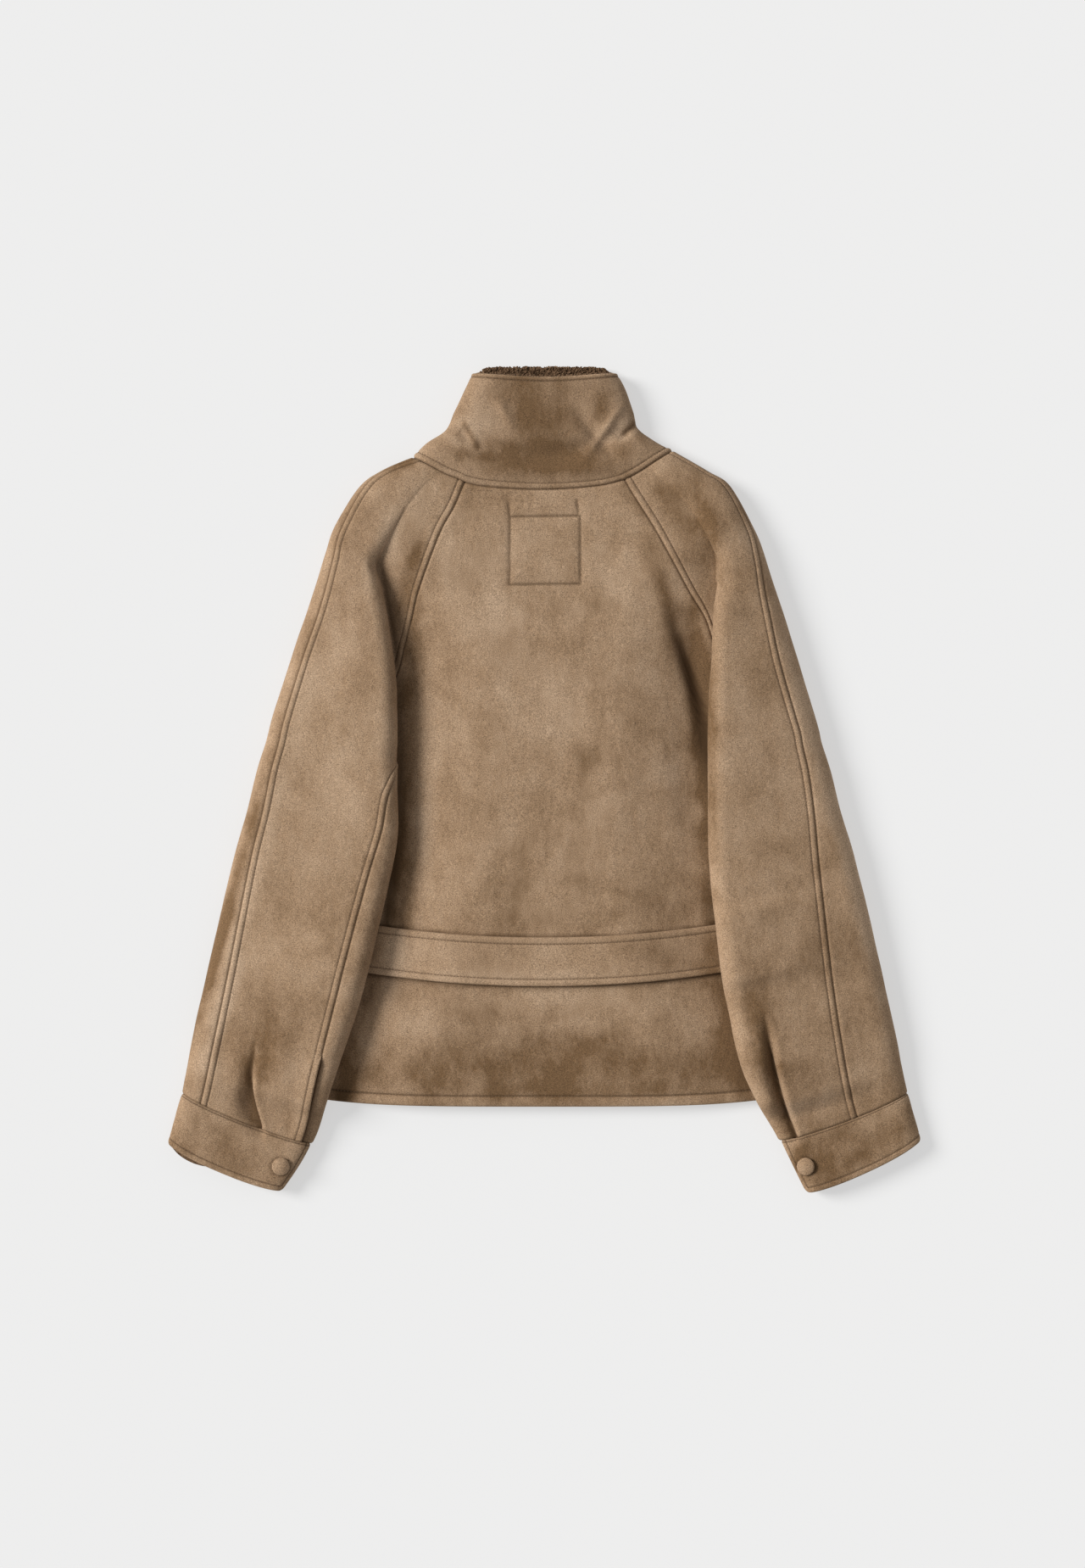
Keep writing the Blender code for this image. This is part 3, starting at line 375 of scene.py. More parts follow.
def support(x, y):
    # height of what a folded-down sleeve lies on
    fromBelt = np.abs(y - beltLine(x))
    reach = belt["width"] / 2 + belt["roomReach"]
    room = belt["room"] * smooth((reach - fromBelt) / belt["roomRamp"])
    arm, gap = garment["underarm"], garment["underarmGap"]
    fromArm = np.hypot(np.abs(x) - arm[0], y - arm[1])
    gap = gap + (garment["layerGap"] - gap) * smooth(fromArm / garment["underarmSpread"])
    beyondSide = np.abs(x) - sideWidth(y) - garment["drapeFrom"][0]
    beyondHem = garment["hemCorner"][1] - garment["drapeFrom"][1] - y
    outside = np.hypot(np.maximum(beyondSide, 0.0), np.maximum(beyondHem, 0.0))
    return (bodyTop(x, y) + room + gap) * (1.0 - smooth(outside / garment["drapeRamp"]))


# ---- sections

sectionStore = {}


def cuffAxis(side):
    seam = named(sectionColumns, sections[side], garment["cuffStation"])
    edge = named(sectionColumns, sections[side], garment["cuffEdgeStation"])
    axis = np.array((side * (edge["rollX"] + edge["outerX"] - seam["rollX"] - seam["outerX"]),
                     edge["rollY"] + edge["outerY"] - seam["rollY"] - seam["outerY"], 0.0))
    return axis / np.linalg.norm(axis)


def bowed(plan, side, roll, outer, bow):
    # points across a sleeve moved down along it, most of all in the middle
    across = outer - roll
    share = np.clip((plan - roll) @ across / (across @ across), 0, 1)
    return plan + cuffAxis(side)[:2] * (bow * (1 - np.abs(2 * share - 1) ** 2.4))[:, None]


def sleeveSection(side, station):
    # from the back's raglan seam over the tucked fold, the roll and the outer edge to the underside
    key = (side, round(float(station), 6))
    if key in sectionStore:
        return sectionStore[key]
    at = named(sectionColumns, sections[side], station)
    up = named(heightColumns, heights, station)
    raglan, valley, roll, outer = (
        np.array((side * at[name + "X"], at[name + "Y"])) for name in ("raglan", "valley", "roll", "outer"))
    below = np.array((side * up["frontX"], up["frontY"]))
    closed = clamp(station - garment["underarmStation"])
    valley = roll + (valley - roll) * clamp(station - garment["overhangStation"])
    if station >= garment["closedStation"]:
        valley = below = raglan
    rollRadius, edgeRadius = garment["rollRadius"], garment["edgeRadius"]

    share = np.linspace(0, 1, 41)
    plan = bowed(blend(raglan, valley, share), side, roll, outer, up["bow"])
    z = bodyTop(plan[:, 0], plan[:, 1]) + up["valleyRise"] * smooth(share)
    z = z - foldDepth(plan[:, 0], plan[:, 1], mainFolds["back"])
    z = z * (1 - closed) + support(plan[:, 0], plan[:, 1]) * closed
    tail = withHeight(plan, z)

    rollBase = float(support(roll[0], roll[1]))
    rollZ = rollBase + up["rollRise"]
    share = eased(61)
    plan = blend(valley, roll, share)
    toRoll = np.hypot(*(plan - roll).T)
    plan = bowed(plan, side, roll, outer, up["bow"])
    base = support(plan[:, 0], plan[:, 1])
    fromValley = share * np.hypot(*(roll - valley))
    base = tail[-1, 2] + (base - tail[-1, 2]) * quarter(fromValley / garment["tuckEase"])
    radius = max(min(rollRadius[0], toRoll[0]), 0.01)
    under = withHeight(plan, base + (rollZ - base) * (1 - quarter(toRoll / radius)))

    share = eased(161)
    plan = bowed(blend(roll, outer, share), side, roll, outer, up["bow"])
    width = np.hypot(*(outer - roll))
    ridge = rollBase + up["crownRise"]
    ridge = ridge + (up["crownOuter"] - ridge) * smooth(share) + garment["crownSwell"] * share * (1 - share)
    rise = rollZ + (ridge - rollZ) * quarter(share * width / rollRadius[1])
    z = up["edge"] + (rise - up["edge"]) * quarter((1 - share) * width / edgeRadius[1])
    pleated = 1 - smooth((station - garment["cuffStation"]) / garment["pleatEase"])
    top = withHeight(plan, z - foldDepth(plan[:, 0], plan[:, 1], mainFolds["sleeve"]) * pleated)

    share = eased(91)
    plan = blend(outer, below, share)
    toOuter = np.hypot(*(plan - outer).T)
    plan = bowed(plan, side, roll, outer, up["bow"])
    base = support(plan[:, 0], plan[:, 1]) * closed
    bottom = withHeight(plan, base + (up["edge"] - base) * (1 - quarter(toOuter / edgeRadius[0])))

    curve = np.vstack((tail, under[1:], top[1:], bottom[1:]))
    marks = {"valley": len(tail) - 1}
    marks["roll"] = marks["valley"] + len(under) - 1
    marks["outer"] = marks["roll"] + len(top) - 1
    marks["end"] = len(curve) - 1
    sectionStore[key] = curve, marks
    return curve, marks


def lengthsAlong(curve):
    return np.concatenate(((0.0,), np.cumsum(np.linalg.norm(np.diff(curve, axis=0), axis=1))))


def pointsAt(curve, wanted, steps):
    return np.column_stack([np.interp(wanted, steps, column) for column in curve.T])


def cut(curve, start, end):
    numbers = np.arange(len(curve))
    inner = numbers[(numbers > start + 1e-6) & (numbers < end - 1e-6)]
    return pointsAt(curve, np.concatenate(((start,), inner, (end,))), numbers)


def spread(curve, count):
    steps = lengthsAlong(curve)
    return pointsAt(curve, np.linspace(0, steps[-1], count), steps)


def placeAfter(curve, place, length):
    steps = lengthsAlong(curve)
    numbers = np.arange(len(curve))
    return float(np.interp(np.interp(place, numbers, steps) + length, steps, numbers))


def overarmPlace(side, station, marks):
    share = named(seamColumns, seams[side], station)["overarm"]
    numbers = np.arange(marks["roll"], marks["outer"] + 1)
    return float(np.interp(share, eased(len(numbers)), numbers))


def underarmPlace(side, station, curve, marks):
    if station <= garment["closedStation"]:
        return 0.0 if station < garment["closedStation"] else float(marks["valley"])
    offset = named(seamColumns, seams[side], station)["underarm"]
    return max(placeAfter(curve, marks["roll"], offset), float(marks["valley"]))


def sleeveBackSection(side, station):
    curve, marks = sleeveSection(side, station)
    return cut(curve, underarmPlace(side, station, curve, marks), overarmPlace(side, station, marks))


def sleeveFrontSection(side, station):
    curve, marks = sleeveSection(side, station)
    over, end = overarmPlace(side, station, marks), float(marks["end"])
    if station > garment["closedStation"]:
        start = underarmPlace(side, station, curve, marks)
        curve = np.vstack((curve, curve[marks["valley"] + 1:marks["outer"]]))
        end = start + marks["end"] - marks["valley"]
    return cut(curve, over, end)


def bodyEdge(station, side):
    # where a body section ends in the back and in the front, and how far the side is folded there
    arm, top, corner = garment["underarm"], garment["sideTop"], garment["hemCorner"]
    if station <= garment["underarmStation"]:
        at = named(sectionColumns, sections[side], station)
        up = named(heightColumns, heights, station)
        return (side * at["raglanX"], at["raglanY"]), (side * up["frontX"], up["frontY"]), 0.0
    share = station - garment["underarmStation"]
    first = (arm[1] - top[1]) / (arm[1] - corner[1])
    y = arm[1] + (corner[1] - arm[1]) * share
    x = arm[0] + (top[0] - arm[0]) * share / first if share < first else float(sideWidth(y))
    return (side * x, y), (side * x, y), min(share / first, 1.0)


def bodyBow(station, neckDepth):
    if station <= garment["underarmStation"]:
        return neckDepth * (1 - smooth(station / garment["neckBowStations"])), 2.0
    share, start = station - garment["underarmStation"], garment["hemBowFrom"]
    return garment["hemBow"] * smooth((share - start) / (1 - start)), 4.0


foldTurn = np.linspace(0.0, math.pi / 2, 21)[:-1]


def backSection(station):
    (leftX, leftY), _, fold = bodyEdge(station, -1)
    (rightX, rightY), _, _ = bodyEdge(station, 1)
    middle = 0.5 * float(bodyTop(np.array(leftX), np.array(leftY)))
    radius = middle * fold
    xs = np.linspace(leftX + radius, rightX - radius, 321)
    across = 2 * (xs - leftX) / (rightX - leftX) - 1
    bow, power = bodyBow(station, garment["neckDepthBack"])
    ys = leftY + (rightY - leftY) * (across + 1) / 2 - bow * (1 - np.abs(across) ** power)
    zs = bodyTop(xs, ys) - foldDepth(xs, ys, mainFolds["back"])
    curve = np.column_stack((xs, ys, zs))
    if fold == 0:
        return curve
    ends = []
    for side, x, top in ((-1, leftX, zs[0]), (1, rightX, zs[-1])):
        seam = top + (middle - top) * fold
        arcX = x - side * radius * (1 - np.cos(foldTurn))
        ends.append(np.column_stack((arcX, np.interp(arcX, xs, ys), seam + (top - seam) * np.sin(foldTurn))))
    return np.vstack((ends[0], curve, ends[1][::-1]))


def frontSection(side, station):
    _, (edgeX, edgeY), fold = bodyEdge(station, side)
    bow, power = bodyBow(station, garment["neckDepthFront"])
    radius = 0.5 * float(bodyTop(np.array(edgeX), np.array(edgeY))) * fold
    xs = (edgeX - side * radius) * (1 - np.linspace(0, 1, 81))
    zs = np.zeros_like(xs)
    if fold > 0:
        xs = np.concatenate((edgeX - side * radius * (1 - np.cos(foldTurn)), xs))
        zs = np.concatenate((radius * (1 - np.sin(foldTurn)), zs))
    return np.column_stack((xs, edgeY - bow * (1 - np.abs(xs / edgeX) ** power), zs))


collarCounts = (120, 400, 120)


def neckRing():
    (left, leftMarks), (right, rightMarks) = sleeveSection(-1, 0.0), sleeveSection(1, 0.0)
    leftTop, rightTop = leftMarks["outer"], rightMarks["outer"]
    return (
        np.vstack((frontSection(-1, 0.0)[::-1], left[leftTop:][::-1][1:])),
        np.vstack((left[:leftTop + 1][::-1], backSection(0.0)[1:-1], right[:rightTop + 1])),
        np.vstack((right[rightTop:], frontSection(1, 0.0)[1:])),
    )


def collarShape(level):
    # the flattened ring of the collar: half of its front, its back, the other half
    levels = [row[0] for row in collarLevels]
    at = named(collarColumns, collarLevels, float(np.interp(level, levels, range(len(levels)))))
    left = np.array((-at["leftX"], at["leftY"]))
    right = np.array((at["rightX"], at["rightY"]))
    share = eased(241)
    away = np.abs(2 * share - 1)
    edge = np.minimum(share, 1 - share) * np.hypot(*(right - left))

    plan = blend(left, right, share)
    plan[:, 1] -= at["bowBack"] * (1 - away ** 1.8)
    z = at["end"] + (at["top"] - at["end"]) * quarter(edge / collarEase["upperEdge"])
    settled = smooth(level / collarEase["foldLevel"])
    upper = withHeight(plan, z - foldDepth(plan[:, 0], plan[:, 1], mainFolds["collar"]) * settled)

    plan = blend(left, right, share)
    start = collarEase["squareFrom"]
    squareness = 1.8 + 1.6 * level + 5.0 * smooth((level - start) / (1 - start))
    plan[:, 1] -= at["bowFront"] * (1 - away ** squareness)
    under = withHeight(plan, at["end"] * (1 - quarter(edge / collarEase["underEdge"])))
    middle = len(share) // 2
    return under[:middle + 1][::-1], upper, under[middle:][::-1]


ringStart = [spread(neck, count) - spread(base, count)
             for neck, base, count in zip(neckRing(), collarShape(0.0), collarCounts)]


def collarSection(level):
    settle = 1 - smooth(level / collarEase["neckLevel"])
    stretches = [spread(here, count) + offset * settle
                 for here, offset, count in zip(collarShape(level), ringStart, collarCounts)]
    return np.vstack((stretches[0], stretches[1][1:], stretches[2][1:]))


cuff = {
    "wall": 3.6,
    "lap": 30.0,                # length under the buttoned tab
    "lapGap": 0.6,
    "lapEase": 45.0,
    "tabEnd": 3.0,
    "tabRadius": 4.5,
    "tabReach": 14.0,           # the rounding of the tab's corner is drawn from this far in
    "edgeStitch": 6.0,
    "seamStitch": 2.4,
    "endStitch": 6.0,
    "foldEase": 3.4,            # rounding of the edge where the cuff folds over
    "foldRise": 3.0,
    "foldDepth": 20.0,
    "peek": 4.6,                # how far the left cuff's under layer shows below the edge
    "peekStart": 6.0,
    "peekLength": 46.0,
    "seamSteps": (0, 0.5, 1.1, 1.7, 2.2, 2.6, 3.1, 3.8, 5.0, 6.6),
    "edgeSteps": (0, 0.5, 1.0, 1.7, 2.6, 3.6, 4.8, 5.5, 6.0, 6.5, 7.2, 8.4, 10.0),
}


def cuffSection(side, station):
    # once round the sleeve, with the lap sunk under the tab
    curve, marks = sleeveSection(side, station)
    ring = curve[marks["valley"]:]
    steps = lengthsAlong(ring)
    roll, around = steps[marks["roll"] - marks["valley"]], steps[-1]
    places = np.linspace(roll + cuff["lap"], roll + cuff["tabEnd"] - around, 401)
    loop = pointsAt(ring, np.mod(places, around), steps)
    outward = np.cross(np.gradient(loop, axis=0), cuffAxis(side)) * side
    outward /= np.linalg.norm(outward, axis=1)[:, None]
    sunk = (cuff["wall"] + cuff["lapGap"]) * (1 - smooth((roll - places) / cuff["lapEase"]))
    return (loop - outward * sunk[:, None])[::-1]


# ---- laying a panel on its surface

sides = ((-1, "left"), (1, "right"))
seamSteps = (0, 0.5, 1.0, 1.6, 2.4, 3.6, 4.8, 5.8, 6.3, 6.8, 7.3, 7.9, 9.0, 10.8)
plainSteps = (0, 0.6, 1.4, 2.6, 4.2, 6.4)
hemSteps = (0, 0.6, 1.3, 2.2, 3.4, 4.8, 6.4, 8.0, 9.4, 10.3, 10.9, 11.4, 12.0, 12.8, 14.2, 16.2)
rimSteps = (0, 0.5, 1.1, 1.9, 3.0, 3.9, 4.4, 4.9, 5.8, 7.2)
largestEnd = 0.45               # share of a short row that the steps of one end may take
# the neck seam turns softly where a raglan seam meets it
neckTurn = {"corners": ((-83.7, 295.4), (79.5, 298.8)), "rise": 1.7, "spread": 11.0}


def shares(count, crowd=0.0):
    # shares of the middle stretch, crowding towards the centre
    t = np.linspace(-1, 1, count)
    return 0.5 + 0.5 * ((1 - crowd) * t + crowd * t ** 3)


def placeRows(section, low, high, along, dense):
    # the sections at which a panel's rows lie, closer together where the panel is dense
    tries = np.linspace(low, high, 70)
    lines = np.array([spread(section(s), 5) for s in tries])
    run = np.concatenate(((0.0,), np.cumsum(np.linalg.norm(np.diff(lines, axis=0), axis=2).mean(axis=1))))
    start, step, end = along
    middle = [start[-1]]
    while middle[-1] < run[-1] - end[-1] - step:
        y = float(np.interp(middle[-1], run, lines[:, 2, 1]))
        middle.append(middle[-1] + (dense["step"] if dense and dense["low"] < y < dense["high"] else step))
    return np.interp(list(start[:-1]) + middle + [run[-1] - e for e in reversed(end)], run, tries)


def layPanel(section, low, high, facing, along, across, dense=None, stations=None):
    # rows at set distances from both ends, columns at set distances from both seams
    if stations is None:
        stations = placeRows(section, low, high, along, dense)
    start, fractions, end = across
    start, end = np.array(start), np.array(end)
    rows, widths = [], []
    for station in stations:
        curve = section(station)
        steps = lengthsAlong(curve)
        total = steps[-1]
        squeeze = min(1.0, largestEnd * total / start[-1], largestEnd * total / end[-1])
        inner = start[-1] * squeeze + (total - (start[-1] + end[-1]) * squeeze) * fractions[1:-1]
        widths.append(np.concatenate((start * squeeze, inner, total - end[::-1] * squeeze)))
        rows.append(pointsAt(curve, widths[-1], steps))
    base, widths = np.array(rows), np.array(widths)
    for x, y in neckTurn["corners"]:
        away = np.hypot(base[:, :, 0] - x, base[:, :, 1] - y)
        base[:, :, 1] += neckTurn["rise"] * gauss(away, neckTurn["spread"])
    normals = np.cross(np.gradient(base, axis=1), np.gradient(base, axis=0)) * facing
    normals /= np.maximum(np.linalg.norm(normals, axis=2), 1e-9)[:, :, None]
    for k in range(3):  # a little smoothing, so that the wall's inside doesn't cross itself
        normals[:, 1:-1] = normals[:, 1:-1] * 0.5 + (normals[:, :-2] + normals[:, 2:]) * 0.25
        normals[1:-1] = normals[1:-1] * 0.5 + (normals[:-2] + normals[2:]) * 0.25
        normals /= np.linalg.norm(normals, axis=2)[:, :, None]
    runs = np.zeros(base.shape[:2])
    runs[1:] = np.cumsum(np.linalg.norm(np.diff(base, axis=0), axis=2), axis=0)
    blank = {key: np.zeros(base.shape[:2]) for key in ("relief", "shade", "nap")}
    return {"base": base, "normals": normals, "stations": np.array(stations),
            "fromStart": widths, "fromEnd": widths[:, -1:] - widths,
            "fromTop": runs, "fromBottom": runs[-1:] - runs, **blank}


def planOf(panel):
    return panel["base"][:, :, 0], panel["base"][:, :, 1]


def groove(panel, distance, place, depth, width, dark, darkWidth, held=1.0):
    panel["relief"] -= depth * gauss(distance - place, width) * held
    panel["shade"] += dark * gauss(distance - place, darkWidth) * held


def raisedStrip(panel, distance, width, height):
    panel["relief"] += height * np.sin(math.pi * np.clip(distance / width, 0, 1))


def roundEdge(panel, distance, radius):
    panel["relief"] -= radius * (1 - quarter(distance / radius))


def seamLine(panel, distance, stitched=0.0, strength=1.0, depth=1.2):
    # the panel's edge dips into the seam; with stitching, a raised strip runs beside it
    groove(panel, distance, 0.0, depth * strength, 1.2, 0.56 * strength, 0.7)
    if stitched:
        raisedStrip(panel, distance, stitched, 0.6 * strength)
        groove(panel, distance, stitched, 0.6 * strength, 0.9, 0.46 * strength, 0.6)


def newMesh(name, points, edges, faces):
    mesh = bpy.data.meshes.new(name)
    mesh.from_pydata(points, edges, faces)
    return mesh


def newPiece(name, data):
    piece = bpy.data.objects.new(name, data)
    bpy.context.scene.collection.objects.link(piece)
    return piece


def addAttribute(mesh, name, values):
    mesh.attributes.new(name, "FLOAT", "POINT").data.foreach_set("value", values)


def gridFaces(number):
    corners = (number[:-1, :-1], number[1:, :-1], number[1:, 1:], number[:-1, 1:])
    return np.stack(corners, axis=-1).reshape(-1, 4)


def wallMesh(name, panel, wall, finishes):
    # the cloth as one closed wall: outside, inside and rim
    outer = panel["base"] + panel["normals"] * panel["relief"][:, :, None]
    inner = panel["base"] - panel["normals"] * wall
    outer[:, :, 2] = np.maximum(outer[:, :, 2], 0.0)  # flat where it rests
    offset = outer.shape[0] * outer.shape[1]
    number = np.arange(offset).reshape(outer.shape[:2])
    outside = gridFaces(number)
    quads = len(outside)
    faces = [outside, outside[:, (0, 3, 2, 1)] + offset]
    for line, flip in ((number[:, 0], True), (number[:, -1], False), (number[0], False), (number[-1], True)):
        strip = np.stack((line[:-1], line[1:], line[1:] + offset, line[:-1] + offset), axis=-1)
        faces.append(strip[:, ::-1] if flip else strip)
    faces = np.vstack(faces)
    points = np.vstack((outer.reshape(-1, 3), inner.reshape(-1, 3))) * mm
    mesh = newMesh(name, points.tolist(), [], faces.tolist())
    slots = np.zeros(len(faces), dtype=np.int32)
    slots[quads:2 * quads] = 1
    mesh.polygons.foreach_set("material_index", slots)
    for finish in finishes:
        mesh.materials.append(finish)
    wanted = panel["normals"].reshape(-1, 3)[faces[quads // 2][0]]
    if mesh.polygons[quads // 2].normal.dot(Vector(wanted)) < 0:
        mesh.flip_normals()
    # the seams' dark together with painted shade, and the nap's lie together with painted light and shade
    for attribute, values in (("seamAndPaintedShade", np.clip(panel["shade"], 0, 1)), ("napLieAndShade", panel["nap"])):
        addAttribute(mesh, attribute, np.concatenate((values.ravel(), np.zeros(offset))).astype(np.float32))
    mesh.shade_smooth()
    mesh.set_sharp_from_angle(angle=math.radians(55))
    return newPiece(name, mesh)


# ---- finishes

colours = {
    "nap": (0.345, 0.227, 0.138),
    "brushed": (0.470, 0.330, 0.218),     # nap stroked up, and painted light where the nap lie raises it
    "laid": (0.175, 0.102, 0.050),        # nap pressed down, and painted shade where the nap lie lowers it
    # the dark of the seams, also the colour of painted shade and painted shadow
    "seam": (0.062, 0.033, 0.014),
    "pile": (0.150, 0.087, 0.048),
    "pileTip": (0.215, 0.135, 0.078),
    # the pile's hollows, painted shade
    "pileHollowShade": (0.048, 0.025, 0.013),
    "thread": (0.150, 0.090, 0.048),
}


def feed(tree, value, socket):
    if isinstance(value, bpy.types.NodeSocket):
        tree.links.new(value, socket)
    else:
        socket.default_value = value


def feedAll(tree, node, values):
    for name, value in values.items():
        feed(tree, value, node.inputs[name])


def addNode(tree, kind, inputs=None, **settings):
    made = tree.nodes.new(kind)
    for name, value in settings.items():
        setattr(made, name, value)
    feedAll(tree, made, inputs or {})
    return made


def mixColours(tree, factor, first, second, mode="MIX"):
    mix = addNode(tree, "ShaderNodeMix", {0: factor, 6: first, 7: second}, data_type="RGBA", blend_type=mode)
    return mix.outputs[2]


def doMath(tree, operation, *values, clamp=False):
    values = dict(enumerate(values))
    return addNode(tree, "ShaderNodeMath", values, operation=operation, use_clamp=clamp).outputs[0]


def weighed(tree, rows):
    # the sum of values times their weights
    total = doMath(tree, "MULTIPLY", *rows[0])
    for value, weight in rows[1:]:
        total = doMath(tree, "MULTIPLY_ADD", value, weight, total)
    return total


def noiseField(tree, place, scale, detail, roughness=0.55, stretch=None, distortion=0.0):
    if stretch:
        turned = {"Scale": stretch, "Rotation": (0, 0, 0.35), "Vector": place}
        place = addNode(tree, "ShaderNodeMapping", turned).outputs["Vector"]
    noise = addNode(tree, "ShaderNodeTexNoise", {"Vector": place, "Scale": scale, "Detail": detail,
                                                 "Roughness": roughness, "Distortion": distortion})
    return noise.outputs["Fac"]


def makeGroup(name, swatches, numbers, outputs):
    group = bpy.data.node_groups.new(name, "ShaderNodeTree")
    inputs = [(label, "NodeSocketColor", (*colours[key], 1)) for label, key in swatches.items()]
    inputs += [(label, "NodeSocketFloat", value) for label, value in numbers.items()]
    for label, kind, value in inputs:
        group.interface.new_socket(name=label, in_out="INPUT", socket_type=kind).default_value = value
    for label, kind in outputs:
        group.interface.new_socket(name=label, in_out="OUTPUT", socket_type="NodeSocket" + kind)
    place = addNode(group, "ShaderNodeTexCoord").outputs["Object"]
    return group, addNode(group, "NodeGroupInput").outputs, addNode(group, "NodeGroupOutput"), place


napSwatches = {"Nap": "nap", "Brushed": "brushed", "Laid": "laid"}


def makeSuedeNap():
    # mottled nap: broad strokes, small marks and a fine grain, darker in the seams and in painted shade,
    # lighter and darker where the nap lie paints light and shade
    group, given, out, place = makeGroup(
        "suedeNap", {**napSwatches, "Seam": "seam"},
        {"Patch Scale": 16.0, "Contrast": 1.0, "Seam And Painted Shade": 0.0, "Nap Lie And Shade": 0.0},
        (("Color", "Color"), ("Roughness", "Float"), ("Normal", "Vector")))
    broad = noiseField(group, place, given["Patch Scale"], 2.2, 0.5, distortion=0.3)
    strokes = noiseField(group, place, 62.0, 3.0, 0.5, stretch=(1.0, 0.42, 1.0), distortion=0.3)
    marks = noiseField(group, place, 210.0, 3.0, 0.6, stretch=(1.0, 0.6, 1.0), distortion=0.3)
    grain = noiseField(group, place, 1150.0, 2.0, 0.7)
    total = weighed(group, ((broad, 0.60), (strokes, 0.22), (marks, 0.21)))
    total = doMath(group, "SUBTRACT", total, 0.5)
    total = doMath(group, "MULTIPLY", total, given["Contrast"])
    total = doMath(group, "MULTIPLY_ADD", total, 4.6, given["Nap Lie And Shade"])
    up = doMath(group, "MULTIPLY", total, 1.0, clamp=True)
    down = doMath(group, "MULTIPLY", total, -1.0, clamp=True)
    colour = mixColours(group, up, given["Nap"], given["Brushed"])
    colour = mixColours(group, down, colour, given["Laid"])
    fleck = doMath(group, "MULTIPLY_ADD", grain, 2.7, -0.35)
    colour = mixColours(group, 1.0, colour, fleck, mode="MULTIPLY")
    colour = mixColours(group, given["Seam And Painted Shade"], colour, given["Seam"])
    height = weighed(group, ((grain, 0.5), (marks, 0.9), (strokes, 1.6)))
    bump = addNode(group, "ShaderNodeBump", {"Strength": 0.42, "Distance": 0.0009, "Height": height})
    rough = doMath(group, "MULTIPLY_ADD", strokes, 0.12, 0.80)
    feedAll(group, out, {"Color": colour, "Roughness": rough, "Normal": bump.outputs["Normal"]})
    return group


def makeCurledPile():
    group, given, out, place = makeGroup(
        "curledPile", {"Pile": "pile", "Tip": "pileTip", "Deep": "pileHollowShade"}, {"Curl Scale": 260.0},
        (("Color", "Color"), ("Normal", "Vector")))
    scale = given["Curl Scale"]
    warp = noiseField(group, place, scale, 3.0, 0.6, distortion=1.6)
    curls = addNode(group, "ShaderNodeTexVoronoi", feature="SMOOTH_F1")
    feedAll(group, curls, {"Scale": scale, "Vector": place})
    height = doMath(group, "SUBTRACT", 1.0, curls.outputs["Distance"])
    height = doMath(group, "MULTIPLY_ADD", warp, 0.9, height)
    tip = doMath(group, "MULTIPLY_ADD", height, 2.2, -2.0, clamp=True)
    # painted shade in the hollows between the curls, and lighter tips
    deep = doMath(group, "MULTIPLY_ADD", height, -3.0, 2.9, clamp=True)
    colour = mixColours(group, tip, given["Pile"], given["Tip"])
    colour = mixColours(group, deep, colour, given["Deep"])
    bump = addNode(group, "ShaderNodeBump", {"Strength": 0.8, "Distance": 0.0016, "Height": height})
    feedAll(group, out, {"Color": colour, "Normal": bump.outputs["Normal"]})
    return group


suedeNap = makeSuedeNap()
curledPile = makeCurledPile()


def newFinish(name):
    made = bpy.data.materials.new(name)
    made.use_nodes = True
    return made, made.node_tree, made.node_tree.nodes["Principled BSDF"]


def makeSuede(name, lift=1.0, patchScale=16.0, contrast=1.0):
    made, tree, shader = newFinish(name)
    # seam darkness and painted shade; the nap's lie with painted light and painted shade
    seamsAndShade = addNode(tree, "ShaderNodeAttribute", attribute_name="seamAndPaintedShade")
    lieAndShade = addNode(tree, "ShaderNodeAttribute", attribute_name="napLieAndShade")
    inputs = {label: (*[c * lift for c in colours[key]], 1) for label, key in napSwatches.items()}
    inputs.update({"Patch Scale": patchScale, "Contrast": contrast,
                   "Seam And Painted Shade": seamsAndShade.outputs["Fac"], "Nap Lie And Shade": lieAndShade.outputs["Fac"]})
    nap = addNode(tree, "ShaderNodeGroup", inputs, node_tree=suedeNap).outputs
    feedAll(tree, shader, {"Base Color": nap["Color"], "Roughness": nap["Roughness"], "Normal": nap["Normal"],
                           "Specular IOR Level": 0.12, "Sheen Weight": 0.12, "Sheen Roughness": 0.45,
                           "Sheen Tint": (0.86, 0.70, 0.54, 1)})
    return made


def makePile(name, curlScale=260.0):
    made, tree, shader = newFinish(name)
    curls = addNode(tree, "ShaderNodeGroup", {"Curl Scale": curlScale}, node_tree=curledPile).outputs
    feedAll(tree, shader, {"Base Color": curls["Color"], "Normal": curls["Normal"], "Roughness": 0.92,
                           "Specular IOR Level": 0.08, "Sheen Weight": 0.25, "Sheen Roughness": 0.5,
                           "Sheen Tint": (0.62, 0.44, 0.30, 1)})
    return made


suede = makeSuede("suedeShell")
suedeSleeve = makeSuede("suedeSleeve", patchScale=13.0)
suedeCollar = makeSuede("suedeCollar", lift=0.93, patchScale=20.0, contrast=0.8)
suedeBelt = makeSuede("suedeBelt", lift=1.02, patchScale=20.0, contrast=0.7)
pile = makePile("bondedPile")
say("finishes made")


# ---- the pieces

stitchLines = []


def attach(piece, node=None):
    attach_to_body(piece, "root")
    if node:
        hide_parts(node)


def addPanel(panel, name, node, cloth):
    finishes = cloth["outside"], cloth.get("inside", pile)
    piece = wallMesh(name, panel, cloth.get("wall", garment["wall"]), finishes)
    attach(piece, node)


def segmentDistance(x, y, segments):
    return np.minimum.reduce([nearest(x, y, ((*start, 0.0), (*end, 0.0)))[0] for start, end in segments])


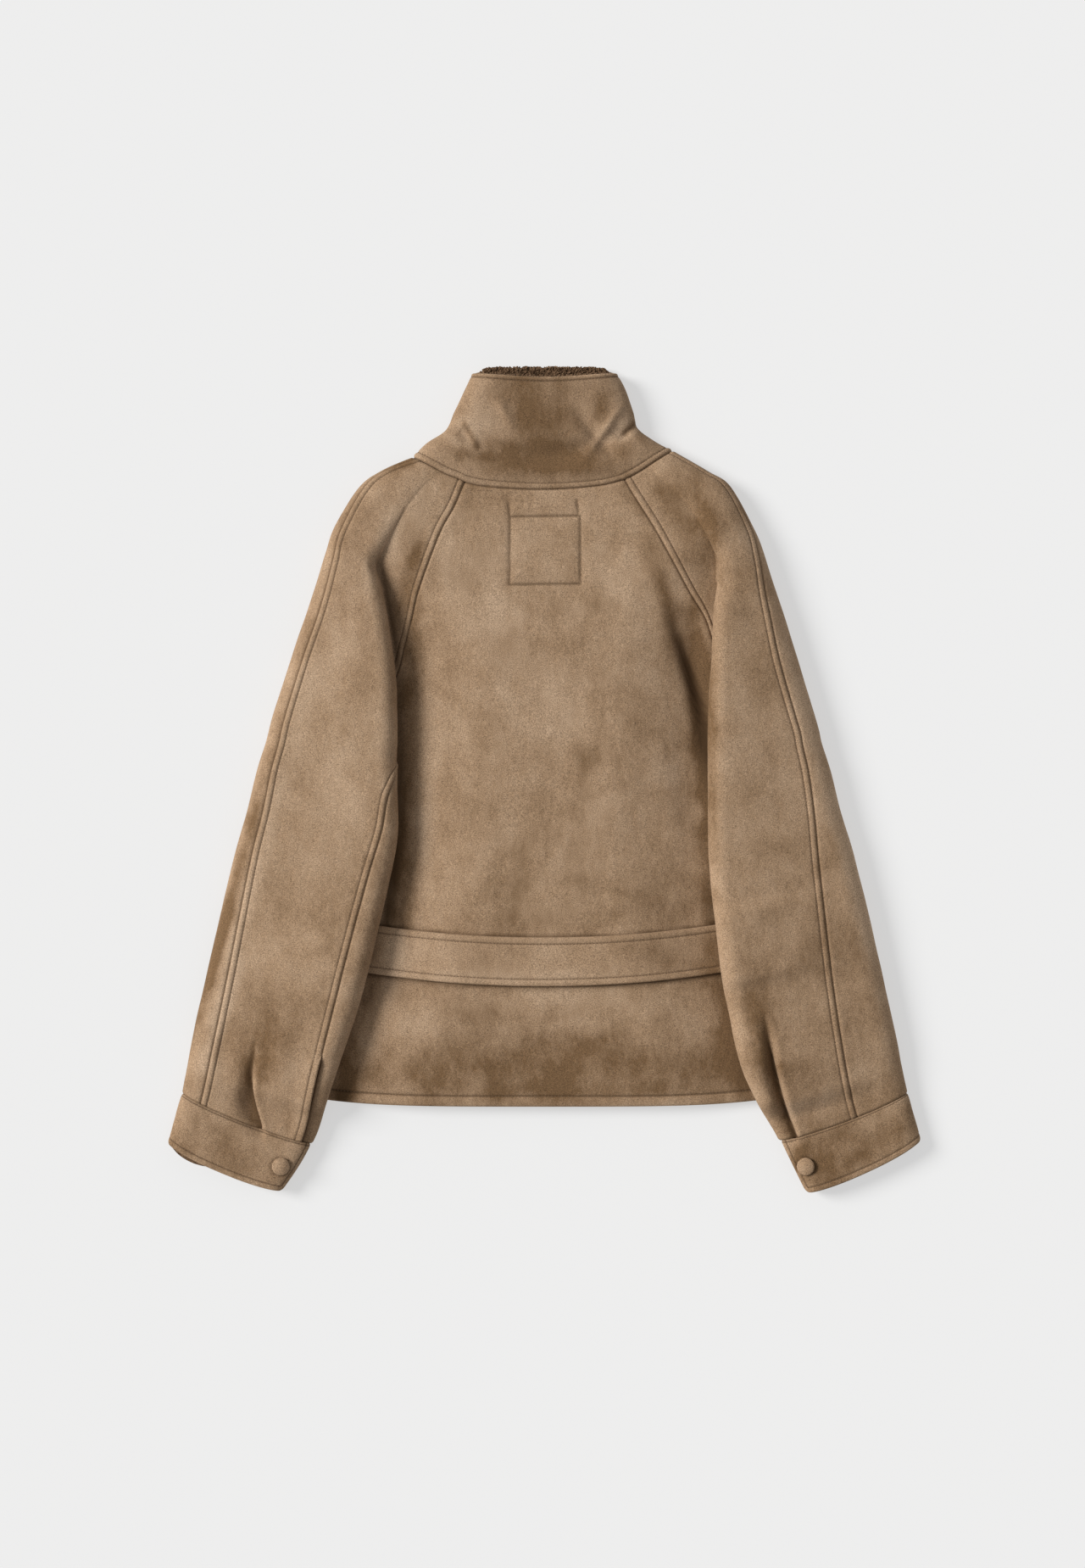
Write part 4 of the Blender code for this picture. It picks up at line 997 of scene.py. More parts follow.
def calm(panel, reach=14.0):
    # 0 at the panel's edges, 1 inside
    near = np.minimum.reduce([panel[edge] for edge in ("fromStart", "fromEnd", "fromTop", "fromBottom")])
    return smooth(near / reach)


def softHills(panel, size, height, seed):
    x, y = planOf(panel)
    hills = cloud(x, y, size, seed) + 0.4 * cloud(x, y, size * 0.38, seed + 1)
    panel["relief"] += height * hills * calm(panel)


# where the nap is stroked up (above 0) or pressed down (below 0), and where painted light (above 0)
# and painted shade (below 0) stand for the fall of light, as soft ovals: middle x and y, turn in degrees,
# half length, half width, strength
napAndShadeMarks = {
    "back": (
        (159, 66, 94, 92, 11, -1.7), (148, 60, 92, 110, 22, -0.3), (162, -70, 91, 100, 9, -0.8),
        (116, 205, 105, 72, 13, -0.7), (176, -160, 96, 36, 9, -0.6), (190, -262, 100, 52, 13, -0.6),
        (95, -40, 90, 70, 26, -0.2), (-136, 40, 89, 180, 11, -1.0), (-149, -90, 84, 66, 7, -0.8),
        (-172, -212, 76, 24, 8, -0.8), (-190, -262, 74, 44, 7, -0.6), (-204, -322, 64, 28, 10, -1.2),
        (-120, -50, 90, 76, 12, 0.6), (-75, -40, 40, 50, 20, 0.2), (-20, 230, 0, 74, 44, 0.24),
        (-14, 130, 90, 80, 36, 0.2), (20, -288, 0, 210, 32, -0.95), (0, -232, 0, 64, 11, -0.4),
        (80, -312, 0, 110, 9, -0.4), (130, -331, 0, 110, 5, 0.5), (178, -190, 100, 120, 36, -0.5),
        (70, -90, 0, 110, 80, -0.34), (-72, 272, 0, 26, 18, 0.3), (8, 245, 0, 30, 26, 0.2),
        (-40, 0, 20, 40, 18, 0.25), (-60, 200, 90, 26, 16, -0.2), (95, 5, 80, 34, 18, -0.25),
        (62, -150, 0, 90, 20, -0.2), (-134, -242, 10, 32, 18, 0.6), (-95, 60, 30, 30, 16, -0.2),
        (60, 60, 80, 40, 26, -0.2), (150, 275, 110, 30, 20, -0.3), (108, 128, 80, 34, 14, 0.5),
        (132, 10, 88, 50, 10, 0.45), (-180, -272, 70, 22, 12, 0.7), (108, 280, 20, 18, 12, -0.5),
        (122, 180, 105, 30, 9, -0.8), (-15, 175, 0, 26, 18, 0.3), (-45, 120, 60, 50, 20, 0.2),
        (-36, 0, 0, 24, 18, 0.2), (-40, -116, 0, 22, 16, 0.25), (20, -265, 0, 24, 14, -0.3),
        (-50, -240, 0, 22, 12, -0.3), (160, -280, 60, 22, 12, 0.35), (190, -236, 100, 34, 12, -0.7),
        (202, -300, 100, 24, 8, -0.6)),
    "sleeve": (
        (-152, 240, 105, 30, 11, 0.45), (-160, 228, 62, 38, 12, 0.4), (-245, 50, 20, 42, 22, 0.35),
        (-283, -10, 74, 170, 8, -0.65), (-309, -112, 73, 80, 8, -0.7), (-332, -200, 74, 46, 7, -0.4),
        (-255, 8, 76, 60, 13, 0.3), (-322, -150, 73, 56, 9, -0.5), (-325, -250, 72, 40, 9, 0.6),
        (-298, -130, 73, 170, 10, 0.45), (-318, -228, 70, 40, 9, 0.5), (-216, -112, 84, 76, 30, 0.4),
        (-280, -285, 82, 60, 13, -0.6), (-222, -245, 95, 38, 12, -0.35), (-243, -335, 95, 34, 11, 0.5),
        (-205, -325, 60, 20, 12, -0.7), (-132, 205, 75, 50, 12, -0.6), (-142, 318, 30, 32, 14, -0.7),
        (-190, 270, 50, 26, 16, -0.35), (-222, -10, 30, 30, 24, -0.3), (-168, -20, 90, 60, 10, -0.35),
        (-160, 110, 88, 60, 9, 0.4), (-330, -300, 70, 60, 14, 0.35), (160, 245, 110, 56, 26, -0.85),
        (122, 215, 115, 40, 14, -0.5), (236, 130, 112, 60, 13, 0.4), (200, 150, 100, 34, 15, 0.45),
        (205, 70, 100, 60, 15, 0.35), (290, -30, 106, 180, 8, 0.8), (322, -150, 102, 120, 8, 0.6),
        (213, -238, 100, 44, 18, -1.0), (262, -230, 95, 100, 50, -0.35), (212, -90, 92, 130, 40, -0.25),
        (250, -30, 100, 80, 22, -0.3), (250, -155, 90, 24, 14, 0.2), (300, -290, 100, 40, 20, -0.3),
        (262, -324, 20, 30, 10, 0.5), (-262, -160, 80, 80, 26, 0.18), (167, 40, 91, 130, 8, -1.1),
        (-322, -235, 70, 50, 8, 0.5), (-335, -198, 73, 40, 7, -0.8), (122, 284, 110, 30, 15, -0.7),
        (130, 250, 115, 60, 18, -0.35), (166, 254, 100, 24, 9, -0.5), (-134, 322, 30, 22, 8, -0.6),
        (-152, 258, 60, 26, 9, 0.5), (-170, 195, 95, 34, 9, 0.4), (-126, 228, 60, 26, 9, -0.6),
        (240, -180, 60, 34, 14, 0.4), (212, 232, 110, 30, 12, 0.5)),
    "cuff": (
        (-345, -370, -20, 50, 22, -0.4), (-275, -397, -20, 44, 16, -0.5), (248, -388, 60, 30, 15, -0.65),
        (250, -388, 62, 26, 7, -0.6), (325, -365, 22, 60, 24, -0.6), (290, -385, 22, 40, 16, -0.4)),
    "collar": (
        (-50, 326, -10, 44, 13, -0.85), (27, 326, 8, 46, 15, -0.9), (20, 312, 0, 50, 10, -0.6),
        (-64, 323, -8, 22, 8, -0.6), (4, 315, 0, 84, 13, -0.5), (0, 372, 90, 50, 34, -0.75),
        (56, 366, 60, 20, 13, -0.8), (75, 388, 80, 22, 9, 0.5), (60, 343, 42, 26, 9, 0.7),
        (-86, 337, -24, 14, 5, 0.6), (-66, 376, 82, 32, 13, 0.35), (-78, 386, 76, 34, 10, -0.5),
        (-30, 390, 90, 26, 20, -0.3), (85, 335, 30, 18, 9, -0.4), (-24, 352, 60, 30, 8, -0.4),
        (-18, 334, 0, 26, 8, -0.6), (82, 368, 80, 16, 7, 0.5), (76, 313, 20, 18, 6, 0.4)),
    "belt": (
        (130, -174, 0, 60, 30, -0.35), (0, -176, 0, 70, 14, -0.25), (-150, -172, 80, 28, 12, 1.1),
        (-75, -178, 0, 80, 22, 0.3), (172, -170, 90, 34, 16, -0.9), (-40, -197, 0, 130, 7, 0.35)),
}

# where the back lies in the shade of a sleeve: soft ovals with the same columns
deepShade = (
    (148, 84, 105, 86, 16, 0.35), (168, 10, 92, 60, 8, 0.35), (172, -150, 96, 50, 10, 0.5),
    (198, -300, 100, 26, 7, 0.35), (-174, -214, 76, 22, 6, 0.4), (-206, -325, 64, 20, 12, 0.75),
)


def ovals(panel, rows):
    # the sum of soft ovals with ragged rims
    x, y = planOf(panel)
    rough = cloud(x, y, 17.0, 81)
    total = np.zeros(x.shape)
    for middleX, middleY, turn, length, width, strength in rows:
        c, s = math.cos(math.radians(turn)), math.sin(math.radians(turn))
        u, v = (x - middleX) * c + (y - middleY) * s, (y - middleY) * c - (x - middleX) * s
        away = np.hypot(u / length, v / width) * (1 + 0.22 * rough)
        total += strength * np.exp(-away ** 2.4)
    return total


def sewAlong(panel, edge, level, skip=(0, 0), lift=0.05):
    # stitches on the finished surface at one distance from an edge
    face = (panel["base"] + panel["normals"] * (panel["relief"] + lift)[:, :, None]) * mm
    distance = panel[edge]
    if edge in ("fromTop", "fromBottom"):
        face, distance = np.swapaxes(face, 0, 1), distance.T
    line = []
    for row, values in zip(face, distance):
        order = np.argsort(values)
        line.append(pointsAt(row[order], level, values[order])[0])
    stitchLines.append(np.array(line[skip[0]:len(line) - skip[1]]))


def sewOver(panel, line):
    # a straight line of stitches laid over a panel by its plan
    (ax, ay), (bx, by) = line
    x, y = planOf(panel)
    z = panel["base"][:, :, 2] + panel["relief"]
    count = max(3, int(math.hypot(bx - ax, by - ay) / 4))
    made = []
    for k in range(count + 1):
        px, py = ax + (bx - ax) * k / count, ay + (by - ay) * k / count
        closest = np.unravel_index(np.argmin((x - px) ** 2 + (y - py) ** 2), x.shape)
        made.append((px, py, z[closest] - 0.2))
    stitchLines.append(np.array(made) * mm)


def dropShade(panel, drops):
    # the dark foot of a steep drop, walked downwards, so that east is on the left
    for east, west, path in drops:
        distance, strength, onLeft = nearest(*planOf(panel), readPath(path, 40))
        panel["shade"] += strength * np.where(onLeft, gauss(distance, east), gauss(distance, west))


back = {
    "cut": (0.54, 0.632), "area": 0.254, "outside": suede,
    "dense": {"low": 188.0, "high": 284.0, "step": 1.4},
    "hemStrip": 11.2,
    "square": ((-33.8, 263.0), (36.4, 264.0), (36.6, 196.0), (-34.5, 195.0)),
    "ticks": (((-35.4, 276.0), (-34.0, 262.0)), ((33.2, 279.0), (34.4, 267.0))),
    # reach of the dark to the east and to the west of each path, then x, y and strength along it
    "drops": (
        (5.0, 7.5, ((118, 192, 0), (132, 152, 0.35), (142, 121, 0.7), (151, 94, 0.85), (158, 68, 0.9),
                    (163, 30, 0.6), (166, -20, 0))),
        (7.0, 7.0, ((-146, 120, 0), (-145, 90, 0.6), (-144, 0, 0.8), (-146, -60, 0.8), (-153, -110, 0.85),
                    (-158, -145, 0.8), (-166, -160, 0)))),
}


def layBack():
    panel = layPanel(backSection, 0.0, garment["hemStation"], -1, (plainSteps, 3.7, hemSteps),
                     (plainSteps, shares(134, 0.55), plainSteps), dense=back["dense"])
    x, y = planOf(panel)
    softHills(panel, 74.0, 0.9, 3)
    panel["relief"] -= foldDepth(x, y, fineFolds["back"])
    for edge in ("fromStart", "fromEnd", "fromTop"):
        seamLine(panel, panel[edge])
    corners = back["square"]
    lines = (*zip(corners, corners[1:] + corners[:1]), *back["ticks"])
    away = segmentDistance(x, y, lines)
    panel["relief"] -= 0.9 * gauss(away, 1.3) + 0.7 * gauss(away, 6.0)
    panel["shade"] += 0.66 * gauss(away, 1.15)
    for line in lines:
        sewOver(panel, line)
    for up, reach in ((1, 1.8), (-1, 3.4)):  # shade above and below the belt
        away = up * (y - beltLine(x)) - belt["width"] / 2
        panel["shade"] += 0.75 * np.where(away > -3.0, gauss(np.maximum(away, 0), reach), 0)
    hem = panel["fromBottom"]
    raisedStrip(panel, hem, back["hemStrip"], 0.8)
    groove(panel, hem, back["hemStrip"], 0.9, 1.1, 0.55, 1.0)
    roundEdge(panel, hem, 2.6)
    sewAlong(panel, "fromBottom", back["hemStrip"], lift=0.1)
    panel["nap"] += ovals(panel, napAndShadeMarks["back"])
    panel["shade"] += ovals(panel, deepShade)
    dropShade(panel, back["drops"])
    addPanel(panel, "jacketBack", "back", back)


front = {"cut": (0.265, 0.61), "area": 0.121, "outside": suede}


def layFronts():
    for side, word in sides:
        panel = layPanel(lambda s: frontSection(side, s), 0.0, garment["hemStation"], -side,
                         (plainSteps, 9.0, hemSteps), (plainSteps, shares(26), plainSteps))
        for edge in ("fromStart", "fromEnd"):
            groove(panel, panel[edge], 0.0, 0.6, 1.3, 0.8, 1.15)
        groove(panel, panel["fromBottom"], back["hemStrip"], 0.5, 1.1, 0.55, 1.0)
        roundEdge(panel, panel["fromBottom"], 2.0)
        addPanel(panel, "jacketFront" + word.title(), "front_" + word, front)


sleeve = {
    "back": {"cut": (0.25, 0.80), "area": 0.0845, "outside": suedeSleeve},
    "front": {"cut": (0.27, 0.80), "area": 0.103, "outside": suedeSleeve},
    "strip": 6.8,               # width of the raised strip along its seams
    "ventTop": 14.85,           # section at which the left sleeve's slit opens
    "drops": ((6.5, 1.6, ((-171, 240, 0), (-163, 212, 0.5), (-157, 180, 0.75), (-151, 145, 0.8),
                          (-147, 112, 0.6), (-146, 92, 0))),),
    "pleats": {
        -1: ((-287, -258, 0), (-289.5, -275, 0.5), (-292.5, -297, 1), (-290, -322, 1), (-283, -347, 1)),
        1: ((219, -226, 0), (224.5, -259, 0.6), (231, -288, 1), (240, -322, 1), (253, -358, 1))},
}


def pleatShade(panel, side):
    # the slit of the pleat in painted shade on its low side, which is west of it, with painted light on its
    # lip
    path = readPath(sleeve["pleats"][side], 40)
    distance, strength, onLeft = nearest(*planOf(panel), path)
    shadow = 0.75 * gauss(distance, 3.2) + 0.25 * gauss(distance, 6.5)
    slit = strength * np.where(onLeft, gauss(distance, 1.1), shadow)
    lip = strength * onLeft * gauss(distance - 3.0, 4.0)
    low = strength * ~onLeft * gauss(distance, 12.0)
    panel["shade"] += slit
    panel["relief"] += 0.8 * lip - 2.0 * slit
    # painted light on the lip, painted shade on the low side
    panel["nap"] += 0.2 * lip - 0.8 * low


def laySleeves():
    for side, word in sides:
        panel = layPanel(lambda s: sleeveBackSection(side, s), 0.0, garment["cuffStation"], -side,
                         (plainSteps, 3.2, plainSteps), (seamSteps, shares(66), seamSteps))
        stations, start, strip = panel["stations"], panel["fromStart"], sleeve["strip"]
        vent = smooth((stations[:, None] - sleeve["ventTop"]) / 0.12) * (side < 0)
        softHills(panel, 62.0, 1.0, 11 + side)
        panel["relief"] -= foldDepth(*planOf(panel), fineFolds["sleeve"]) * calm(panel, 10.0)
        panel["relief"] += vent * 2.4 * gauss(start, 12.0)
        seamLine(panel, start * (1 - vent) + 50.0 * vent, strip)
        panel["relief"] -= vent * 1.4 * (1 - quarter(start / 1.6))
        groove(panel, start, strip, 0.6, 0.9, 0.55, 0.95, vent)
        seamLine(panel, panel["fromEnd"], strip)
        for edge in ("fromTop", "fromBottom"):
            seamLine(panel, panel[edge])
        pleatShade(panel, side)
        dropShade(panel, sleeve["drops"])
        for edge in ("fromStart", "fromEnd"):
            sewAlong(panel, edge, strip, skip=(3, 3))
        panel["nap"] += ovals(panel, napAndShadeMarks["sleeve"])
        addPanel(panel, "sleeveBack" + word.title(), "sleeve_back_" + word, sleeve["back"])

        panel = layPanel(lambda s: sleeveFrontSection(side, s), 0.0, garment["cuffStation"], -side, None,
                         (plainSteps, shares(80), plainSteps), stations=stations)
        softHills(panel, 62.0, 0.6, 21 + side)
        end = panel["fromEnd"]
        # painted shade along the slit, where the overlapping edge shades the cloth
        groove(panel, end, 0.0, 2.6, 9.0, 0.9, 3.0, vent)
        seamLine(panel, end, strength=1 - 0.6 * vent)
        for edge in ("fromStart", "fromTop", "fromBottom"):
            seamLine(panel, panel[edge])
        panel["nap"] += ovals(panel, napAndShadeMarks["sleeve"])
        addPanel(panel, "sleeveFront" + word.title(), "sleeve_front_" + word, sleeve["front"])
        say("sleeve " + word)


button = {
    "diameter": 18.0,
    "height": 4.6,
    "lift": 0.35,
    "segments": 48,
    "fromTab": {-1: 19.0, 1: 14.5},
    "station": 16.5,
    "span": (-7.2, 0.0, 7.2),   # where the cuff's slope under it is read
    # share of the radius and height of the rings round its rim
    "rim": ((0.96, 2.2), (0.995, 1.7), (1, 1.2), (0.985, 0.6), (0.93, 0.0)),
}


def buttonSeat(side):
    # where the button's middle meets the tab, and which way it looks
    curve = cuffSection(side, button["station"])
    near = pointsAt(curve, button["fromTab"][side] + np.array(button["span"]), lengthsAlong(curve))
    outward = np.cross(near[2] - near[0], cuffAxis(side)) * -side
    return near[1], outward / np.linalg.norm(outward)


def roundTab(panel):
    # the corner of the tab, rounded by drawing the rows' ends in
    radius, reach = cuff["tabRadius"], cuff["tabReach"]
    for row, low, along in zip(panel["base"], panel["fromBottom"][:, 0], panel["fromStart"]):
        if low < radius:
            inset = radius - math.sqrt(radius ** 2 - (radius - low) ** 2)
            wanted = np.where(along < reach, inset + along * (reach - inset) / reach, along)
            row[:] = pointsAt(row, wanted, along)


def easeFolds(panel, side):
    # the edge rises a little where the cuff folds over, and the left one's under layer shows below it
    base, along = panel["base"], panel["fromStart"]
    axis = cuffAxis(side)
    reach = base @ np.array((-side * axis[1], axis[0], 0.0))
    fromOuter, fromInner = (along - along[np.arange(len(base)), pick(reach, axis=1)][:, None]
                            for pick in (np.argmax, np.argmin))
    rise = np.maximum(gauss(fromOuter, cuff["foldEase"]), gauss(fromInner, cuff["foldEase"]))
    held = smooth(1 - panel["fromBottom"] / cuff["foldDepth"])
    base -= axis * (cuff["foldRise"] * rise * held)[:, :, None]
    if side < 0:
        past = np.clip((fromOuter - cuff["peekStart"]) / cuff["peekLength"], 0, 1)
        base += axis * (cuff["peek"] * np.sin(math.pi * past) ** 0.7 * held)[:, :, None]


cuffCloth = {"cut": (0.33, 0.048), "area": 0.0150, "outside": suede, "wall": cuff["wall"]}


def layCuffs():
    for side, word in sides:
        panel = layPanel(lambda s: cuffSection(side, s), garment["cuffStation"], garment["cuffEdgeStation"],
                         -side, (cuff["seamSteps"], 2.4, cuff["edgeSteps"]),
                         (cuff["edgeSteps"], shares(150), plainSteps))
        easeFolds(panel, side)
        roundTab(panel)
        softHills(panel, 30.0, 0.5, 31 + side)
        top, low, tab = panel["fromTop"], panel["fromBottom"], panel["fromStart"]
        seamLine(panel, top, depth=1.6)
        for distance, place, held in (
                (top, cuff["seamStitch"], smooth(tab / 2.0)),
                (low, cuff["edgeStitch"], smooth((tab - cuff["endStitch"]) / 0.6)),
                (tab, cuff["endStitch"], smooth((low - cuff["edgeStitch"]) / 0.6))):
            groove(panel, distance, place, 0.6, 0.8, 0.62, 0.65, held)
        roundEdge(panel, low, 1.8)
        roundEdge(panel, tab, 1.8)
        # a ring of painted shade on the cuff round the button's rim
        seat = np.linalg.norm(panel["base"] - buttonSeat(side)[0], axis=2)
        panel["shade"] += 0.6 * gauss(seat - 9.4, 0.9)
        panel["relief"] -= 0.8 * gauss(seat - 9.2, 1.6)
        sewAlong(panel, "fromBottom", cuff["edgeStitch"], skip=(12, 30))
        sewAlong(panel, "fromTop", cuff["seamStitch"], skip=(6, 30))
        sewAlong(panel, "fromStart", cuff["endStitch"], skip=(7, 8))
        panel["nap"] += ovals(panel, napAndShadeMarks["cuff"])
        addPanel(panel, "cuff" + word.title(), "cuff_" + word, cuffCloth)


collar = {
    "cut": (0.60, 0.13), "area": 0.0505, "outside": suedeCollar,
    "strip": 6.6,
    "topStitch": 4.4,
    "creases": (((-79.5, 355.0), (-73.0, 344.5)), ((-73.0, 344.5), (-67.0, 333.0)),
                ((91.0, 356.5), (80.5, 346.5))),
}

# the pile facing inside the collar's rim, and the curls that stand on it
lining = {
    "cut": (0.34, 0.034), "area": 0.0103, "outside": pile, "slot": "pile",
    "level": 0.66,              # it runs from here to the rim
    "gap": 0.35,
    "wall": 4.0,
    "curls": 2300,
    "curlSize": 1.7,
    "curlScale": 420.0,
    "curlReach": 17.0,          # the curls stand this far down from the rim
    "curlRim": 3.4,             # and over this much of the facing's thickness
    "curlSink": 0.5,
    "curlSeed": 7,
}


def layCollar():
    panel = layPanel(collarSection, 0.0, 1.0, 1, (seamSteps, 2.2, rimSteps),
                     (plainSteps, shares(250), plainSteps))
    x, y, z = panel["base"].transpose(2, 0, 1)
    onTop = smooth((z - 9.0) / 6.0)
    softHills(panel, 42.0, 0.7, 41)
    panel["relief"] -= foldDepth(x, y, fineFolds["collar"]) * onTop * calm(panel, 10.0)
    seamLine(panel, panel["fromTop"], collar["strip"])
    for edge in ("fromStart", "fromEnd"):
        seamLine(panel, panel[edge], depth=0.8)
    groove(panel, panel["fromBottom"], collar["topStitch"], 0.7, 1.0, 0.55, 1.0)
    roundEdge(panel, panel["fromBottom"], 2.2)
    sewAlong(panel, "fromBottom", collar["topStitch"], skip=(8, 8))
    sewAlong(panel, "fromTop", collar["strip"], skip=(8, 8))
    # painted shade along the creases, with painted light beside them
    away = segmentDistance(x, y, collar["creases"])
    panel["shade"] += 0.30 * gauss(away, 1.6) * onTop
    panel["nap"] += (0.5 * gauss(away - 6.0, 4.0) - 0.5 * gauss(away, 4.0)) * onTop
    panel["nap"] += ovals(panel, napAndShadeMarks["collar"])
    addPanel(panel, "standCollar", "collar", collar)

    panel = layPanel(collarSection, lining["level"], 1.0, 1, (plainSteps, 1.6, plainSteps),
                     (plainSteps, shares(240), plainSteps))
    depth = garment["wall"] + lining["gap"] + lining["wall"]
    panel["base"] -= panel["normals"] * depth
    panel["normals"] = -panel["normals"]
    rim = smooth(1 - panel["fromBottom"] / 6.0)
    panel["base"][:, :, 1] += rim * 1.2 * smooth((14.0 - panel["base"][:, :, 2]) / 10.0)
    along, down = panel["fromStart"], panel["fromTop"]
    rough = cloud(along, down, 3.4, 51) + 0.6 * cloud(along, down, 1.9, 52)
    panel["relief"] += 0.75 * rough * calm(panel, 3.0)
    addPanel(panel, "collarPile", "collar_lining", lining)
    return panel


def beltSection(x):
    ys = float(beltLine(x)) + belt["width"] * np.linspace(0.5, -0.5, 33)
    xs = np.full_like(ys, x)
    return np.column_stack((xs, ys, bodyTop(xs, ys) - foldDepth(xs, ys, mainFolds["back"])
                            + belt["lift"] + belt["thickness"]))


beltCloth = {"cut": (0.481, 0.0495), "area": None, "outside": suedeBelt, "inside": suedeBelt,
             "wall": belt["thickness"], "slot": "suede_belt"}


def layBelt():
    reach = float(sideWidth(belt["middleY"])) - belt["endInset"]
    panel = layPanel(beltSection, -reach, reach, 1, (plainSteps, 3.0, plainSteps),
                     (belt["edgeSteps"], shares(14), belt["edgeSteps"]))
    softHills(panel, 40.0, 0.45, 61)
    for edge in ("fromStart", "fromEnd"):
        raisedStrip(panel, panel[edge], belt["stitchInset"], 0.5)
        groove(panel, panel[edge], belt["stitchInset"], 0.6, 0.9, 0.34, 0.8)
        roundEdge(panel, panel[edge], 1.7)
        sewAlong(panel, edge, belt["stitchInset"])
    for edge in ("fromTop", "fromBottom"):
        roundEdge(panel, panel[edge], 1.7)
    panel["nap"] += ovals(panel, napAndShadeMarks["belt"])
    addPanel(panel, "halfBelt", "belt", beltCloth)


def layButtons():
    # suede drawn over a domed button, with small gathers under its rim
    radius, n = button["diameter"] / 2, button["segments"]
    profile = [(radius * 0.90 * s, button["height"] - 2.0 * s ** 2.2) for s in np.linspace(0.02, 1, 12)]
    profile += [(radius * share, height) for share, height in button["rim"]]
    turns = [math.tau * k / n for k in range(n)]
    for side, word in sides:
        seat, outward = buttonSeat(side)
        across = cuffAxis(side)
        third = np.cross(outward, across)
        points = [seat + outward * (button["lift"] + button["height"])]
        for r, h in profile:
            for turn in turns:
                gather = 1 + 0.012 * math.sin(12 * turn) * smooth((r / radius - 0.86) / 0.1)
                points.append(seat + (across * math.cos(turn) + third * math.sin(turn)) * r * gather
                              + outward * (button["lift"] + h))
        points.append(seat + outward * button["lift"])
        faces = [(0, 1 + k, 1 + (k + 1) % n) for k in range(n)]
        for a in range(1, 1 + (len(profile) - 1) * n, n):
            faces += [(a + k, a + n + k, a + n + (k + 1) % n, a + (k + 1) % n) for k in range(n)]
        last = 1 + (len(profile) - 1) * n
        faces += [(last + (k + 1) % n, last + k, len(points) - 1) for k in range(n)]
        mesh = newMesh("button" + word.title(), (np.array(points) * mm).tolist(), [], faces)
        if mesh.polygons[0].normal.dot(Vector(outward)) < 0:
            mesh.flip_normals()
        # painted shade on the button's rim and its low edge
        seamsAndShade = [0.55 if r > radius * 0.97 or h < 1.0 else 0.0 for r, h in profile for k in range(n)]
        addAttribute(mesh, "seamAndPaintedShade", [0.0, *seamsAndShade, 0.0])
        mesh.shade_smooth()
        mesh.materials.append(suede)
        attach(newPiece(mesh.name, mesh), "button_" + word)


layBack()
say("back")
layFronts()
laySleeves()
layCuffs()
layBelt()
liningPanel = layCollar()
layButtons()
say("collar, belt, cuffs and buttons")


# ---- stitches and curls, repeated by geometry nodes

def newTree(name, labels):
    tree = bpy.data.node_groups.new(name, "GeometryNodeTree")
    for label, kind in (("Geometry", "Geometry"), *labels):
        tree.interface.new_socket(name=label, in_out="INPUT", socket_type="NodeSocket" + kind)
    tree.interface.new_socket(name="Geometry", in_out="OUTPUT", socket_type="NodeSocketGeometry")
    return tree, addNode(tree, "NodeGroupInput").outputs, addNode(tree, "NodeGroupOutput")


def repeatCopy(tree, out, points, copy, turn, size, finish):
    put = addNode(tree, "GeometryNodeInstanceOnPoints",
                  {"Points": points, "Instance": copy, "Rotation": turn, "Scale": size})
    real = addNode(tree, "GeometryNodeRealizeInstances", {0: put.outputs[0]})
    paint = addNode(tree, "GeometryNodeSetMaterial", {"Geometry": real.outputs[0], "Material": finish})
    feed(tree, paint.outputs[0], out.inputs[0])


def runTree(name, bed, tree, values):
    # a tree applied to a bed of lines or faces, kept as a plain mesh
    host = newPiece("bed", bed)
    modifier = host.modifiers.new(name, "NODES")
    modifier.node_group = tree
    for item in tree.interface.items_tree:
        if item.item_type == "SOCKET" and item.in_out == "INPUT" and item.name in values:
            modifier[item.identifier] = values[item.name]
    evaluated = host.evaluated_get(bpy.context.evaluated_depsgraph_get())
    mesh = bpy.data.meshes.new_from_object(evaluated)
    mesh.name = name
    host.modifiers.remove(modifier)
    bpy.data.objects.remove(host, do_unlink=True)
    attach(newPiece(name, mesh))


stitch = {"spacing": 3.3, "length": 2.4, "thickness": 0.75}


def makeStitchTree():
    tree, given, out = newTree("stitchRow", (
        ("Spacing", "Float"), ("Length", "Float"), ("Thickness", "Float"), ("Thread", "Material")))
    line = addNode(tree, "GeometryNodeMeshToCurve", {0: given["Geometry"]})
    even = addNode(tree, "GeometryNodeResampleCurve", {"Curve": line.outputs[0], "Length": given["Spacing"]},
                   mode="LENGTH")
    bead = addNode(tree, "GeometryNodeMeshUVSphere", {"Segments": 6, "Rings": 4, "Radius": 0.5})
    tangent = addNode(tree, "GeometryNodeInputTangent")
    turn = addNode(tree, "FunctionNodeAlignRotationToVector", {"Vector": tangent.outputs[0]}, axis="X")
    size = addNode(tree, "ShaderNodeCombineXYZ",
                   {0: given["Length"], 1: given["Thickness"], 2: given["Thickness"]})
    repeatCopy(tree, out, even.outputs[0], bead.outputs["Mesh"], turn.outputs[0], size.outputs[0],
               given["Thread"])
    return tree


def makeThread():
    made, tree, shader = newFinish("sewingThread")
    place = addNode(tree, "ShaderNodeTexCoord").outputs["Object"]
    twist = noiseField(tree, place, 1400.0, 2.0, 0.6, stretch=(1.0, 0.4, 1.0))
    shade = doMath(tree, "MULTIPLY_ADD", twist, 0.7, 0.65)
    colour = mixColours(tree, 1.0, (*colours["thread"], 1), shade, mode="MULTIPLY")
    feedAll(tree, shader, {"Base Color": colour, "Roughness": 0.65})
    return made


